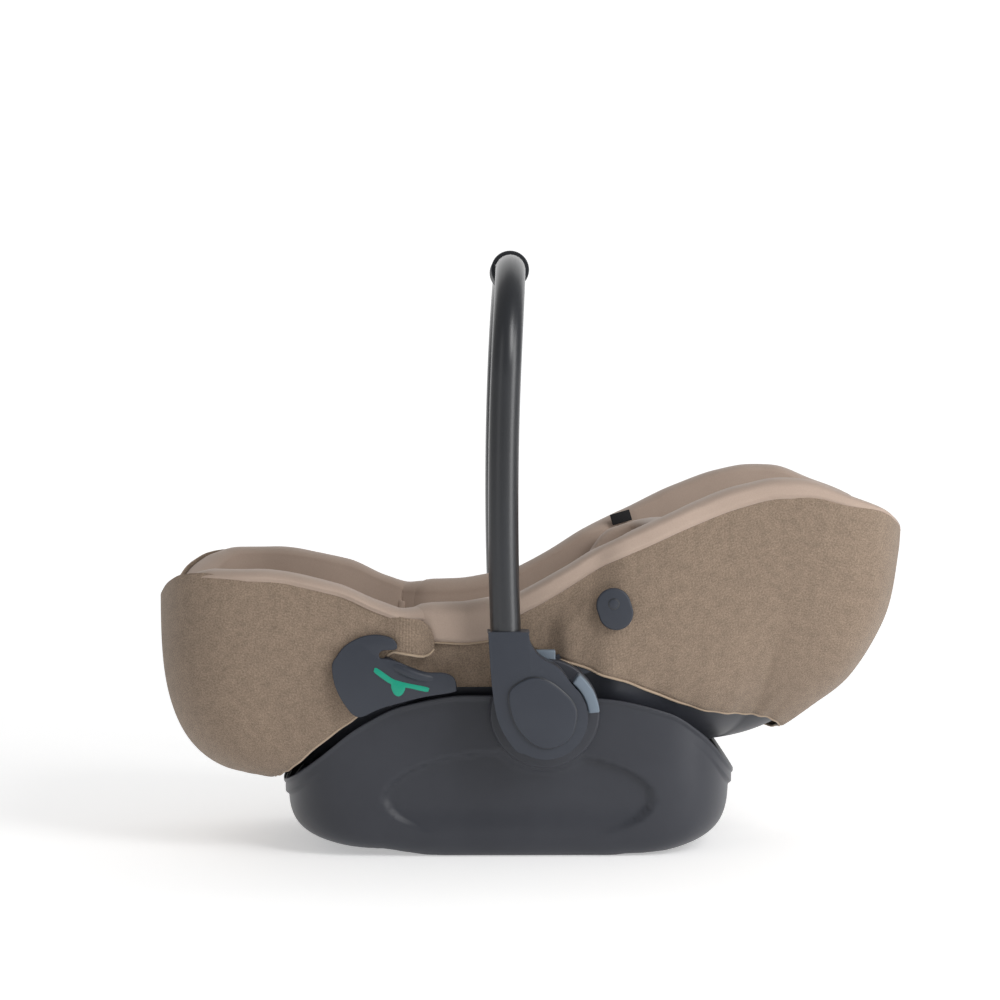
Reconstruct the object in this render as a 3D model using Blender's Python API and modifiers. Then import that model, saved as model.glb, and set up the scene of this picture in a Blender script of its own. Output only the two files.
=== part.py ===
# Infant car seat that lies flat: a rocker base, a foot bucket fixed on it, a back bucket that
# reclines on two pins, a headrest that slides, and a carry handle that swings on two hubs.
# +X points to the head end, -Y is the child's left side, +Z is up. Metres.
# The origin is on the floor, at the middle of the seat's length and width.
import math

import bmesh
import bpy
from mathutils import Matrix, Vector

# Gaps between neighbours
GAP = 0.0004
RUNNING_GAP = 0.0003

# Buckets
FOOT_END = 0.358
HEAD_END = 0.358
SEAT_HALF = 0.172
NECK_STEP = 0.014
FOOT_WALL_END = -0.021
SHELL_WALL = 0.004
FOAM_T = 0.0136
PAD_T = 0.0085
PAD_GAP = 0.0009
COVER_T = 0.003
COVER_GAP = 0.001
END_ROUND = 0.11
END_POWER = 0.62

# Belt guides
MARK_W = 0.0044
MARK_T = 0.0012

# Rocker base
BASE_FOOT_END = 0.238
BASE_HEAD_END = 0.198
BASE_WALL = 0.004
BASE_STEP = 0.007
BASE_FLAT_FROM = -0.08
BASE_FLAT_TO = 0.07
CROSS_BAR_W = 0.024
CROSS_BAR_L = 0.07

# Carry handle
HUB_X = 0.0128
HUB_Z = 0.142
HUB_R = 0.0395
HUB_T = 0.0346
HUB_LIP = 0.0032
CAP_T = 0.004
TUBE_R = 0.0145
GRIP_R = 0.0185
GRIP_HALF = 0.088
HANDLE_TOP = 0.582
HANDLE_CORNER = 0.1
SOCKET_Z = 0.19
CAVITY_R = 0.033
CAVITY_DEPTH = 0.024
BOSS_R = 0.0122
AXLE_R = 0.009
AXLE_HEAD_R = 0.0135
AXLE_HEAD_T = 0.003

# Handle release buttons
BUTTON_ANGLE = 28.5
BUTTON_SPREAD = 23.5
BUTTON_INNER = 0.0402
BUTTON_OUTER = 0.051
BUTTON_TRAVEL = 0.0045
NECK_W = 0.012
NECK_T = 0.006
TONGUE_INNER = 0.0215
TONGUE_TIP = 0.0262
RING_R = 0.0324
RING_TOOTH = 0.0036
RING_T = 0.0045
RING_TEETH = 10
SPRING_WIRE = 0.0005
SPRING_COIL = 0.003
SPRING_TURNS = 3.5
NECK_OVER_RING = 0.0036
PAD_UNDER_NECK = 0.0018

# Pivot housing and recline hinge
HOUSING_R = 0.052
HOOD_PLATE_T = 0.0058
RECLINE_X = 0.0
RECLINE_Z = 0.176
RECLINE_EYE_R = 0.013
RECLINE_PIN_R = 0.005
BRACKET_T = 0.004
BRACKET_END = 0.058
RECLINE_PIN_SEAT = 0.009

# Adapter buttons
ADAPTER_WALL = 0.003
ADAPTER_W = 0.02
ADAPTER_LOW = 0.186
ADAPTER_HIGH = 0.202
ADAPTER_TRAVEL = 0.0035

# Hood mounts, tag
HOOD_X = 0.079
HOOD_Z = 0.241
HOOD_W = 0.033
HOOD_H = 0.0405
HOOD_TILT = 18.0
HOOD_PIN_R = 0.0046
TAG_X = 0.1
TAG_W = 0.022
TAG_H = 0.011
TAG_T = 0.0012

# Headrest, on a slope
HEADREST_X = 0.07
HEADREST_Z = 0.118
HEADREST_SLOPE = 18.0
HEADREST_LENGTH = 0.125
HEADREST_HALF = 0.112
HEADREST_RISE = 0.165
HEADREST_SHELL_T = 0.003
HEADREST_CUSHION_T = 0.016

# Harness
STRAP_W = 0.025
STRAP_T = 0.002
STRAP_Y = 0.034
SHOULDER_PAD_T = 0.007
BUCKLE_X = -0.06
BUCKLE_L = 0.056
BUCKLE_W = 0.044
BUCKLE_T = 0.018
ADJUSTER_X = -0.175
ADJUSTER_L = 0.05
ADJUSTER_W = 0.04
ADJUSTER_T = 0.013
PRESS_L = 0.022
PRESS_W = 0.024
CROTCH_STRAP_L = 0.022
CROTCH_PAD_T = 0.008
CROTCH_PAD_W = 0.05
SHOULDER_X = 0.041
SHOULDER_L = 0.05
SHOULDER_SLOPE = 14.0

# Recline lever on the end of the back bucket
LEVER_HALF = 0.04
LEVER_DROP = 0.026
LEVER_T = 0.006
LEVER_X = 0.3385
LEVER_Z = 0.2105
LEVER_SLOPE = 66.0

# Bolsters beside the hips
BOLSTER_L = 0.082
BOLSTER_T = 0.022
BOLSTER_H = 0.052
BOLSTER_X = -0.068
BOLSTER_Z = 0.2

ROWS = (0.0, 10.0, 22.0, 36.0, 50.0, 64.0, 78.0, 90.0)

# Sideways stack, from the seat's half width out to the hub caps
NECK_HALF = SEAT_HALF - NECK_STEP
BASE_HALF = SEAT_HALF - BASE_STEP
BRACKET_Y = NECK_HALF + 0.0028
FACE_Y = SEAT_HALF + COVER_GAP + COVER_T + HOOD_PLATE_T
HOUSING_Y = max(BASE_HALF, BRACKET_Y + BRACKET_T) + GAP
HUB_Y = FACE_Y + GAP
LEG_Y = HUB_Y + HUB_T / 2
CAP_Y = HUB_Y + HUB_T + RUNNING_GAP
SIDES = (("left", -1), ("right", 1))

parts = bpy.data.collections.new("infant_car_seat")
cutters = bpy.data.collections.new("cutters")


def clear_scene():
    for obj in list(bpy.data.objects):
        bpy.data.objects.remove(obj, do_unlink=True)
    bpy.context.scene.collection.children.link(parts)
    bpy.context.scene.collection.children.link(cutters)


def material(name, colour, roughness, metallic=0.0):
    mat = bpy.data.materials.new(name)
    mat.use_nodes = True
    shader = mat.node_tree.nodes["Principled BSDF"]
    shader.inputs["Base Color"].default_value = (*colour, 1.0)
    shader.inputs["Roughness"].default_value = roughness
    shader.inputs["Metallic"].default_value = metallic
    mat.diffuse_color = (*colour, 1.0)
    return mat


def place(obj, collection=None):
    """Puts an object in one collection only."""
    for old in list(obj.users_collection):
        old.objects.unlink(obj)
    (collection or parts).objects.link(obj)
    return obj


def finish(obj, mat):
    obj.data.materials.clear()
    obj.data.materials.append(mat)
    return place(obj)


def as_cutter(obj):
    obj.hide_render = True
    obj.display_type = "WIRE"
    return place(obj, cutters)


def meshed(obj):
    """A mesh copy of a curve, with its caps welded; the curve goes."""
    bpy.context.view_layer.update()
    graph = bpy.context.evaluated_depsgraph_get()
    mesh = bpy.data.meshes.new_from_object(obj.evaluated_get(graph))
    form = bmesh.new()
    form.from_mesh(mesh)
    bmesh.ops.remove_doubles(form, verts=form.verts, dist=1e-6)
    bmesh.ops.recalc_face_normals(form, faces=form.faces)
    form.to_mesh(mesh)
    form.free()
    name = obj.name
    matrix = obj.matrix_world.copy()
    bpy.data.objects.remove(obj, do_unlink=True)
    new = bpy.data.objects.new(name, mesh)
    new.matrix_world = matrix
    return place(new)


def cut(obj, cutter, operation="DIFFERENCE"):
    as_cutter(cutter)
    boolean = obj.modifiers.new(cutter.name, "BOOLEAN")
    boolean.operation = operation
    boolean.object = cutter
    boolean.solver = "EXACT"


def rounded(obj, width, segments=1, angle=40.0):
    bevel = obj.modifiers.new("edges", "BEVEL")
    bevel.width = width
    bevel.segments = segments
    bevel.limit_method = "ANGLE"
    bevel.angle_limit = math.radians(angle)
    return obj


def circle(x, z, radius, count):
    turns = (2 * math.pi * index / count for index in range(count))
    return [(x + radius * math.cos(turn), z + radius * math.sin(turn)) for turn in turns]


def plate(name, outlines, low, high):
    """A flat outline in the XZ plane, filled, from Y = low to Y = high. A second outline is a hole."""
    curve = bpy.data.curves.new(name, "CURVE")
    curve.dimensions = "2D"
    curve.fill_mode = "BOTH"
    curve.extrude = abs(high - low) / 2
    for outline in outlines:
        spline = curve.splines.new("POLY")
        spline.points.add(len(outline) - 1)
        for point, (x, z) in zip(spline.points, outline):
            point.co = (x, z, 0, 1)
        spline.use_cyclic_u = True
    obj = bpy.data.objects.new(name, curve)
    obj.location = (0, (low + high) / 2, 0)
    obj.rotation_euler = (math.pi / 2, 0, 0)
    return meshed(place(obj))


def span(side, inner, outer):
    """Y limits of a layer that runs from inner to outer on one side."""
    return (side * inner, side * outer) if side > 0 else (side * outer, side * inner)


def turned(name, profile, centre, side, steps=20):
    """A profile of (radius, distance outwards) turned about an axis along Y through centre."""
    mesh = bpy.data.meshes.new(name)
    points = [(radius, 0, out) for radius, out in profile]
    edges = [(index, index + 1) for index in range(len(points) - 1)]
    mesh.from_pydata(points, edges, [])
    obj = place(bpy.data.objects.new(name, mesh))
    obj.location = (centre[0], 0, centre[1])
    obj.rotation_euler = (-side * math.pi / 2, 0, 0)
    screw = obj.modifiers.new("turn", "SCREW")
    screw.steps = steps
    screw.render_steps = steps
    screw.use_merge_vertices = True
    screw.merge_threshold = 0.0001
    return obj


def block(name, centre, size, slope=0.0, edge=0.0, segments=1):
    """A box with bevelled edges; slope raises its +X end."""
    bpy.ops.mesh.primitive_cube_add(size=1)
    obj = bpy.context.object
    obj.name = name
    obj.data.name = name
    obj.data.transform(Matrix.Diagonal((*size, 1)))
    obj.location = centre
    obj.rotation_euler = (0, -math.radians(slope), 0)
    if edge:
        rounded(obj, edge, segments)
    return place(obj)


def tube(name, points, radius, resolution=2):
    curve = bpy.data.curves.new(name, "CURVE")
    curve.dimensions = "3D"
    curve.bevel_depth = radius
    curve.bevel_resolution = resolution
    curve.use_fill_caps = True
    spline = curve.splines.new("POLY")
    spline.points.add(len(points) - 1)
    for point, place_at in zip(spline.points, points):
        point.co = (*place_at, 1)
    return place(bpy.data.objects.new(name, curve))


def level(knots, x):
    """Height at x on a line through knots of (x, z)."""
    if x <= knots[0][0]:
        return knots[0][1]
    for (x0, z0), (x1, z1) in zip(knots, knots[1:]):
        if x <= x1:
            share = (x - x0) / (x1 - x0)
            share = share * share * (3 - 2 * share)
            return z0 + (z1 - z0) * share
    return knots[-1][1]


def tub(name, columns, inner, outer, rows=ROWS, matrix=None, flat=0.0, reach=None):
    """A layer of a bucket. Each column runs from a rim point (x, y, z) down to a spine point (x, z) on
    the middle plane along a superellipse of the given power. inner and outer are the layer's distances
    from that surface, positive outwards. reach holds how far down each column goes, of 90 degrees."""
    form = bmesh.new()
    grid = []
    for order, (rim, spine, power) in enumerate(columns):
        column = []
        lowest = reach[order] if reach else rows[-1]
        for row in (min(angle, lowest) for angle in rows):
            across = max(math.cos(math.radians(row)), 0.0) ** power if row < 90 else 0.0
            down = min(1.0, (1 + flat) * math.sin(math.radians(row)) ** power)
            x = spine[0] + (rim[0] - spine[0]) * across
            y = rim[1] * across
            z = rim[2] + (spine[1] - rim[2]) * down
            column.append(form.verts.new((x, -y, z)))
        grid.append(column)
    for before, after in zip(grid, grid[1:]):
        for index in range(len(rows) - 1):
            form.faces.new((before[index], after[index], after[index + 1], before[index + 1]))
    bmesh.ops.remove_doubles(form, verts=form.verts, dist=1e-6)
    mesh = bpy.data.meshes.new(name)
    form.to_mesh(mesh)
    form.free()
    if columns[-1][0][0] > columns[0][0][0]:
        mesh.flip_normals()
    if matrix:
        mesh.transform(matrix)
    obj = place(bpy.data.objects.new(name, mesh))
    mirror = obj.modifiers.new("other half", "MIRROR")
    mirror.use_axis = (False, True, False)
    mirror.merge_threshold = 0.0001
    layer = obj.modifiers.new("layer", "SOLIDIFY")
    layer.thickness = outer - inner
    layer.offset = (outer + inner) / (outer - inner)
    layer.use_even_offset = True
    return obj


def end_round(x0, reach, half, share):
    """A point of the plan outline where the side turns into the end, and how far round it is."""
    turn = math.radians(90 * share)
    x = x0 + reach * math.sin(turn) ** END_POWER
    y = half * max(math.cos(turn), 0.0) ** END_POWER if share < 1 else 0.0
    return x, y


def foot_rim(x):
    return level(
        (
            (-FOOT_END, 0.255),
            (-0.33, 0.269),
            (-0.264, 0.269),
            (-0.185, 0.256),
            (-0.145, 0.239),
            (-0.11, 0.229),
            (-0.07, 0.23),
            (-0.03, 0.236),
        ),
        x,
    )


def foot_spine(x):
    return level(((-0.262, 0.066), (-0.236, 0.0735), (-0.2, 0.074), (-0.1, 0.06), (0.0, 0.058)), x)


def foot_half(x):
    return level(((-0.13, SEAT_HALF), (-0.09, NECK_HALF)), x)


def foot_columns(first=None):
    """Columns of the foot bucket from its open end to the middle of its closed end."""
    turn_x = -(FOOT_END - END_ROUND)
    columns = []
    for x in (FOOT_WALL_END, -0.055, -0.09, -0.12, -0.155, -0.2, turn_x):
        if first is not None and x > first:
            continue
        spine_x = FOOT_WALL_END + (x - FOOT_WALL_END) * 0.78
        rim = (x, foot_half(x), foot_rim(x))
        columns.append((rim, (spine_x, foot_spine(spine_x)), 0.75))
    spine_from = FOOT_WALL_END + (turn_x - FOOT_WALL_END) * 0.78
    spine_to = turn_x - 0.007
    for share in (0.2, 0.4, 0.6, 0.8, 1.0):
        x, y = end_round(turn_x, -END_ROUND, SEAT_HALF, share)
        spine_x = spine_from + (spine_to - spine_from) * share
        columns.append(((x, y, foot_rim(x)), (spine_x, foot_spine(spine_x)), 0.72))
    return columns


def head_rim(x):
    return level(
        (
            (0.027, 0.268),
            (0.07, 0.294),
            (0.113, 0.314),
            (0.157, 0.334),
            (0.2, 0.35),
            (0.235, 0.356),
            (0.261, 0.355),
            (0.304, 0.342),
            (HEAD_END, 0.3),
        ),
        x,
    )


def head_spine(x):
    return level(((0.01, 0.07), (0.1, 0.084), (0.181, 0.099), (0.217, 0.12)), x)


def head_half(x):
    return level(((0.06, NECK_HALF + 0.001), (0.09, SEAT_HALF - 0.003), (0.14, SEAT_HALF)), x)


def head_power(x):
    return level(((0.1, 0.62), (0.2, 0.8), (0.25, 0.95)), x)


def head_columns(first=None):
    """Columns of the back bucket from its open end to the middle of its closed end."""
    turn_x = HEAD_END - END_ROUND
    columns = []
    for x in (0.031, 0.058, 0.078, 0.1, 0.14, 0.185, 0.225, turn_x):
        if first is not None and x < first:
            continue
        spine_x = 0.01 + (x - 0.031) * 0.74
        rim = (x, head_half(x), head_rim(x))
        columns.append((rim, (spine_x, head_spine(spine_x)), head_power(x)))
    spine_from = 0.01 + (turn_x - 0.031) * 0.74
    spine_to = turn_x - 0.038
    for share in (0.2, 0.4, 0.6, 0.8, 1.0):
        x, y = end_round(turn_x, END_ROUND, SEAT_HALF, share)
        spine_x = spine_from + (spine_to - spine_from) * share
        power = head_power(turn_x) + 0.2 * share
        columns.append(((x, y, head_rim(x)), (spine_x, head_spine(spine_x)), power))
    return columns


def base_columns():
    """Columns of the rocker base from the middle of its foot end to the middle of its head end."""

    def rim_z(x):
        return level(
            (
                (-BASE_FOOT_END, 0.064),
                (-0.201, 0.097),
                (-0.164, 0.127),
                (-0.121, 0.148),
                (-0.06, 0.1575),
                (0.066, 0.154),
                (0.131, 0.14),
                (0.164, 0.118),
                (BASE_HEAD_END, 0.072),
            ),
            x,
        )

    def floor_z(x):
        return level(((-0.17, 0.012), (BASE_FLAT_FROM, 0.0), (BASE_FLAT_TO, 0.0), (0.14, 0.011)), x)

    columns = []
    foot_turn = -BASE_FOOT_END + 0.098
    head_turn = BASE_HEAD_END - 0.108
    for share in (1.0, 0.8, 0.6, 0.4, 0.2):
        x, y = end_round(foot_turn, -0.098, BASE_HALF, share)
        spine_x = foot_turn * (1 - share) + (foot_turn - 0.04) * share
        columns.append(((x, y, rim_z(x)), (spine_x, floor_z(spine_x)), 0.5 + 0.1 * share))
    for x in (foot_turn, BASE_FLAT_FROM, -0.03, 0.02, BASE_FLAT_TO, head_turn):
        columns.append(((x, BASE_HALF, rim_z(x)), (x, floor_z(x)), 0.4))
    for share in (0.2, 0.4, 0.6, 0.8, 1.0):
        x, y = end_round(head_turn, 0.108, BASE_HALF, share)
        spine_x = head_turn * (1 - share) + (head_turn + 0.045) * share
        columns.append(((x, y, rim_z(x)), (spine_x, floor_z(spine_x)), 0.42 + 0.18 * share))
    return columns


def rocker_base(plastic):
    base = tub("rocker_base", base_columns(), -BASE_WALL, 0.0, ROWS, flat=0.03)
    finish(base, plastic)
    for name, x in (("base_cross_bar_front", -0.066), ("base_cross_bar_rear", -0.036)):
        low = BASE_WALL + GAP
        high = foot_spine(x) - GAP
        size = (CROSS_BAR_W, CROSS_BAR_L, high - low)
        finish(block(name, (x, 0, (low + high) / 2), size, edge=0.002), plastic)


def foot_bucket(plastic, foam, fabric, lining):
    finish(tub("foot_shell", foot_columns(), -SHELL_WALL, 0.0), plastic)
    inner = -SHELL_WALL - GAP
    finish(tub("foot_foam", foot_columns(), inner - FOAM_T, inner), foam)
    pad_outer = inner - FOAM_T - PAD_GAP
    finish(tub("seat_pad", foot_columns(), pad_outer - PAD_T, pad_outer, ROWS[1:]), lining)
    columns = foot_columns(first=-0.1)
    reach = [level(((-0.29, 56.0), (-0.25, 50.0), (-0.2, 36.0), (-0.155, 22.0)), x[0][0]) for x in columns]
    cover = tub("foot_cover", columns, COVER_GAP, COVER_GAP + COVER_T, reach=reach)
    finish(cover, fabric)


def back_bucket(plastic, foam, fabric, lining):
    finish(tub("back_shell", head_columns(), -SHELL_WALL, 0.0), plastic)
    inner = -SHELL_WALL - GAP
    finish(tub("back_foam", head_columns(), inner - FOAM_T, inner), foam)
    pad_outer = inner - FOAM_T - PAD_GAP
    finish(tub("back_pad", head_columns(), pad_outer - PAD_T, pad_outer, ROWS[1:]), lining)
    columns = head_columns(first=0.07)
    reach = [level(((0.078, 22.0), (0.14, 36.0), (0.225, 50.0)), x[0][0]) for x in columns]
    cover = tub("back_cover", columns, COVER_GAP, COVER_GAP + COVER_T, reach=reach)
    finish(cover, fabric)


def belt_guides(plastic, green):
    """A hook on each side of the foot bucket for a lap belt, with an inlaid mark along the belt's path."""
    hook = (
        (-0.189, 0.187),
        (-0.185, 0.196),
        (-0.176, 0.207),
        (-0.161, 0.215),
        (-0.146, 0.217),
        (-0.133, 0.214),
        (-0.1275, 0.208),
        (-0.1275, 0.2022),
        (-0.1405, 0.2022),
        (-0.1445, 0.199),
        (-0.1445, 0.1945),
        (-0.127, 0.194),
        (-0.113, 0.186),
        (-0.099, 0.181),
        (-0.08, 0.181),
        (-0.071, 0.172),
        (-0.071, 0.162),
        (-0.105, 0.157),
        (-0.142, 0.147),
        (-0.164, 0.138),
        (-0.176, 0.149),
        (-0.186, 0.168),
    )
    path = ((-0.147, 0.183), (-0.132, 0.173), (-0.099, 0.165))
    inner = SEAT_HALF + COVER_GAP + COVER_T + GAP
    for label, side in SIDES:
        guide = plate(f"belt_guide_{label}", [hook], *span(side, inner, FACE_Y))
        groove = plate(
            f"belt_groove_{label}",
            [stroke(path, MARK_W / 2 + GAP, GAP)],
            *span(side, FACE_Y - MARK_T - GAP, FACE_Y + 0.01),
        )
        cut(guide, groove)
        finish(guide, plastic)
        outline = stroke(path, MARK_W / 2, 0.0)
        mark = plate(f"belt_mark_{label}", [outline], *span(side, FACE_Y - MARK_T, FACE_Y))
        finish(mark, green)


def stroke(path, half, more):
    """The outline of a band of the given half width along a bent path, square at its ends."""
    left = []
    right = []
    last = len(path) - 1
    for index, here in enumerate(path):
        before = path[max(index - 1, 0)]
        after = path[min(index + 1, last)]
        run = math.hypot(after[0] - before[0], after[1] - before[1])
        ux = (after[0] - before[0]) / run
        uz = (after[1] - before[1]) / run
        push = more * ((index == last) - (index == 0))
        left.append((here[0] + ux * push - uz * half, here[1] + uz * push + ux * half))
        right.append((here[0] + ux * push + uz * half, here[1] + uz * push - ux * half))
    return left + right[::-1]


def pivots(plastic, light, steel):
    """The fixed part of each hub: housing, axle, toothed lock ring and adapter button."""
    for label, side in SIDES:
        disc = circle(HUB_X, HUB_Z, HOUSING_R, 32)
        housing = plate(f"pivot_housing_{label}", [disc], *span(side, HOUSING_Y, FACE_Y))
        floor_y = HOUSING_Y + 0.002
        pocket = plate(
            f"axle_pocket_{label}",
            [circle(HUB_X, HUB_Z, AXLE_R + GAP, 20)],
            *span(side, floor_y, FACE_Y + 0.01),
        )
        cut(housing, pocket)
        eye = plate(
            f"recline_pocket_{label}",
            [circle(RECLINE_X, RECLINE_Z, RECLINE_PIN_R + RUNNING_GAP, 16)],
            *span(side, HOUSING_Y - 0.01, HOUSING_Y + RECLINE_PIN_SEAT),
        )
        cut(housing, eye)
        slot = plate(
            f"adapter_slot_{label}",
            [rectangle(HUB_X, ADAPTER_W + 2 * GAP, ADAPTER_LOW - ADAPTER_TRAVEL - GAP, ADAPTER_HIGH)],
            *span(side, HOUSING_Y + ADAPTER_WALL, FACE_Y - ADAPTER_WALL),
        )
        cut(housing, slot)
        finish(housing, plastic)
        button = plate(
            f"adapter_button_{label}",
            [rectangle(HUB_X, ADAPTER_W, ADAPTER_LOW, ADAPTER_HIGH)],
            *span(side, HOUSING_Y + ADAPTER_WALL + GAP, FACE_Y - ADAPTER_WALL - GAP),
        )
        finish(rounded(button, 0.0012), light)

        head_y = HUB_Y + HUB_T - AXLE_HEAD_T
        axle = turned(
            f"pivot_axle_{label}",
            (
                (0, head_y + AXLE_HEAD_T),
                (AXLE_HEAD_R, head_y + AXLE_HEAD_T),
                (AXLE_HEAD_R, head_y),
                (AXLE_R, head_y),
                (AXLE_R, floor_y + GAP),
                (0, floor_y + GAP),
            ),
            (HUB_X, HUB_Z),
            side,
        )
        finish(axle, steel)

        ring_inner = TONGUE_TIP + 2 * GAP
        teeth = []
        for tooth in range(RING_TEETH):
            for share, deep in ((0.0, 0), (0.5, 0), (0.56, 1), (0.94, 1)):
                turn = 2 * math.pi * (tooth + share - 0.25) / RING_TEETH + math.radians(BUTTON_ANGLE)
                radius = ring_inner + deep * RING_TOOTH
                teeth.append((HUB_X + radius * math.cos(turn), HUB_Z + radius * math.sin(turn)))
        ring = plate(
            f"lock_ring_{label}",
            [circle(HUB_X, HUB_Z, RING_R, 32), teeth],
            *span(side, HUB_Y - GAP / 2, HUB_Y + RING_T),
        )
        finish(ring, steel)


def rectangle(x, width, low, high):
    return [(x - width / 2, low), (x + width / 2, low), (x + width / 2, high), (x - width / 2, high)]


def sector(inner, outer, spread, count, shift=0.0):
    """A ring sector about the hub centre, spread degrees either side of the button's direction."""
    points = []
    for radius, order in ((inner, 1), (outer, -1)):
        for index in range(count + 1):
            turn = math.radians(BUTTON_ANGLE + order * spread * (2 * index / count - 1))
            points.append((HUB_X + radius * math.cos(turn), HUB_Z + radius * math.sin(turn)))
    return points


def along_button(near, far, half):
    """A straight bar's outline on the button's direction, from radius near to radius far."""
    turn = math.radians(BUTTON_ANGLE)
    ux, uz = math.cos(turn), math.sin(turn)
    corners = ((near, -half), (far, -half), (far, half), (near, half))
    return [(HUB_X + run * ux - off * uz, HUB_Z + run * uz + off * ux) for run, off in corners]


def handle(plastic, dark, light, steel):
    tube_z = HANDLE_TOP - GRIP_R
    corner_y = LEG_Y - HANDLE_CORNER
    corner_z = tube_z - HANDLE_CORNER

    def lean(z):
        """The legs bow a little towards the foot end, furthest at mid height."""
        return HUB_X - 0.0398 + 0.16 * (z - 0.34) ** 2

    half = [(lean(z), -LEG_Y, z) for z in (SOCKET_Z + GAP, 0.26, 0.33, 0.4, corner_z)]
    for index in range(1, 7):
        turn = math.radians(15 * index)
        z = corner_z + HANDLE_CORNER * math.sin(turn)
        half.append((lean(z), -corner_y - HANDLE_CORNER * math.cos(turn), z))
    points = half + [(x, -y, z) for x, y, z in reversed(half)]
    finish(tube("handle_bar", points, TUBE_R), dark)

    grip = turned(
        "handle_grip",
        (
            (TUBE_R + GAP, GRIP_HALF),
            (GRIP_R - 0.002, GRIP_HALF),
            (GRIP_R, GRIP_HALF - 0.004),
            (GRIP_R, 0.004 - GRIP_HALF),
            (GRIP_R - 0.002, -GRIP_HALF),
            (TUBE_R + GAP, -GRIP_HALF),
            (TUBE_R + GAP, GRIP_HALF),
        ),
        (lean(tube_z), tube_z),
        1,
        16,
    )
    finish(grip, dark)

    outline = [
        (-0.0538, 0.08),
        (-0.0498, 0.023),
        (-0.0433, -0.007),
        (-0.0288, -0.03),
    ]
    for degrees in (235, 255, 275, 295, 315, 335, 355, 15, 35, 50):
        turn = math.radians(degrees)
        outline.append((HUB_R * math.cos(turn), HUB_R * math.sin(turn)))
    outline += [(0.012, 0.047), (-0.004, 0.056), (-0.0135, 0.068), (-0.0163, 0.08)]
    outline = [(HUB_X + x, HUB_Z + z) for x, z in outline]

    egg = (
        (-0.0348, 0.021),
        (-0.03, 0.03),
        (-0.0133, 0.038),
        (0.0037, 0.034),
        (0.0202, 0.021),
        (0.0272, 0.011),
        (0.0288, 0.001),
        (0.0252, -0.015),
        (0.0152, -0.025),
        (-0.0001, -0.0287),
        (-0.0143, -0.023),
        (-0.0268, -0.009),
        (-0.0328, 0.006),
    )
    egg = [(HUB_X + x, HUB_Z + z) for x, z in egg]

    shelf = HUB_Y + CAVITY_DEPTH
    neck_y = HUB_Y + RING_T + NECK_OVER_RING
    pad_low = neck_y - PAD_UNDER_NECK
    for label, side in SIDES:
        hub = plate(f"handle_hub_{label}", [outline], *span(side, HUB_Y, HUB_Y + HUB_T))
        ring_room = plate(
            f"ring_room_{label}",
            [circle(HUB_X, HUB_Z, CAVITY_R, 32)],
            *span(side, HUB_Y - 0.01, neck_y - 0.001),
        )
        spring_room = plate(
            f"spring_room_{label}",
            [circle(HUB_X, HUB_Z, CAVITY_R, 32), circle(HUB_X, HUB_Z, BOSS_R, 16)],
            *span(side, neck_y - 0.002, shelf),
        )
        bore = plate(
            f"axle_bore_{label}",
            [circle(HUB_X, HUB_Z, AXLE_R + RUNNING_GAP, 20)],
            *span(side, HUB_Y - 0.01, HUB_Y + HUB_T + 0.01),
        )
        head_room = plate(
            f"axle_head_room_{label}",
            [circle(HUB_X, HUB_Z, AXLE_HEAD_R + RUNNING_GAP, 20)],
            *span(side, HUB_Y + HUB_T - AXLE_HEAD_T - RUNNING_GAP, HUB_Y + HUB_T + 0.01),
        )
        button_room = plate(
            f"button_room_{label}",
            [sector(BUTTON_INNER - BUTTON_TRAVEL - 0.001, BUTTON_OUTER + 0.01, BUTTON_SPREAD + 4.5, 6)],
            *span(side, pad_low - GAP, HUB_Y + HUB_T - HUB_LIP),
        )
        neck_room = plate(
            f"neck_room_{label}",
            [along_button(CAVITY_R - 0.004, BUTTON_OUTER, NECK_W / 2 + GAP)],
            *span(side, neck_y - 0.001, neck_y + NECK_T + GAP),
        )
        socket = tube(
            f"tube_socket_{label}",
            [(lean(SOCKET_Z), side * LEG_Y, SOCKET_Z), (lean(0.26), side * LEG_Y, 0.26)],
            TUBE_R + 2 * GAP,
        )
        for cutter in (ring_room, spring_room, bore, head_room, button_room, neck_room, meshed(socket)):
            cut(hub, cutter)
        finish(hub, plastic)

        cap = plate(f"hub_cap_{label}", [egg], *span(side, CAP_Y, CAP_Y + CAP_T))
        finish(rounded(cap, 0.0015), plastic)

        button = plate(
            f"handle_button_{label}",
            [sector(BUTTON_INNER, BUTTON_OUTER, BUTTON_SPREAD, 6)],
            *span(side, pad_low, HUB_Y + HUB_T - HUB_LIP - GAP),
        )
        neck = plate(
            f"button_neck_{label}",
            [along_button(TONGUE_INNER, BUTTON_INNER + 0.002, NECK_W / 2)],
            *span(side, neck_y, neck_y + NECK_T),
        )
        tongue = plate(
            f"button_tongue_{label}",
            [along_button(TONGUE_INNER, TONGUE_TIP, NECK_W / 2 - 0.003)],
            *span(side, HUB_Y + 0.001, neck_y + 0.001),
        )
        cut(button, neck, "UNION")
        cut(button, tongue, "UNION")
        finish(button, light)

        turn = math.radians(BUTTON_ANGLE)
        aim = Vector((math.cos(turn), 0, math.sin(turn)))
        cross = Vector((-math.sin(turn), 0, math.cos(turn)))
        start = BOSS_R + GAP + SPRING_WIRE
        length = TONGUE_INNER - GAP - SPRING_WIRE - start
        middle = Vector((HUB_X, side * (neck_y + NECK_T / 2), HUB_Z))
        coil = []
        steps = int(SPRING_TURNS * 8)
        for step in range(steps + 1):
            angle = 2 * math.pi * step / 8
            run = start + length * step / steps
            offset = cross * (SPRING_COIL * math.cos(angle)) + Vector((0, SPRING_COIL * math.sin(angle), 0))
            coil.append(middle + aim * run + offset)
        finish(tube(f"button_spring_{label}", coil, SPRING_WIRE, 0), steel)


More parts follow.
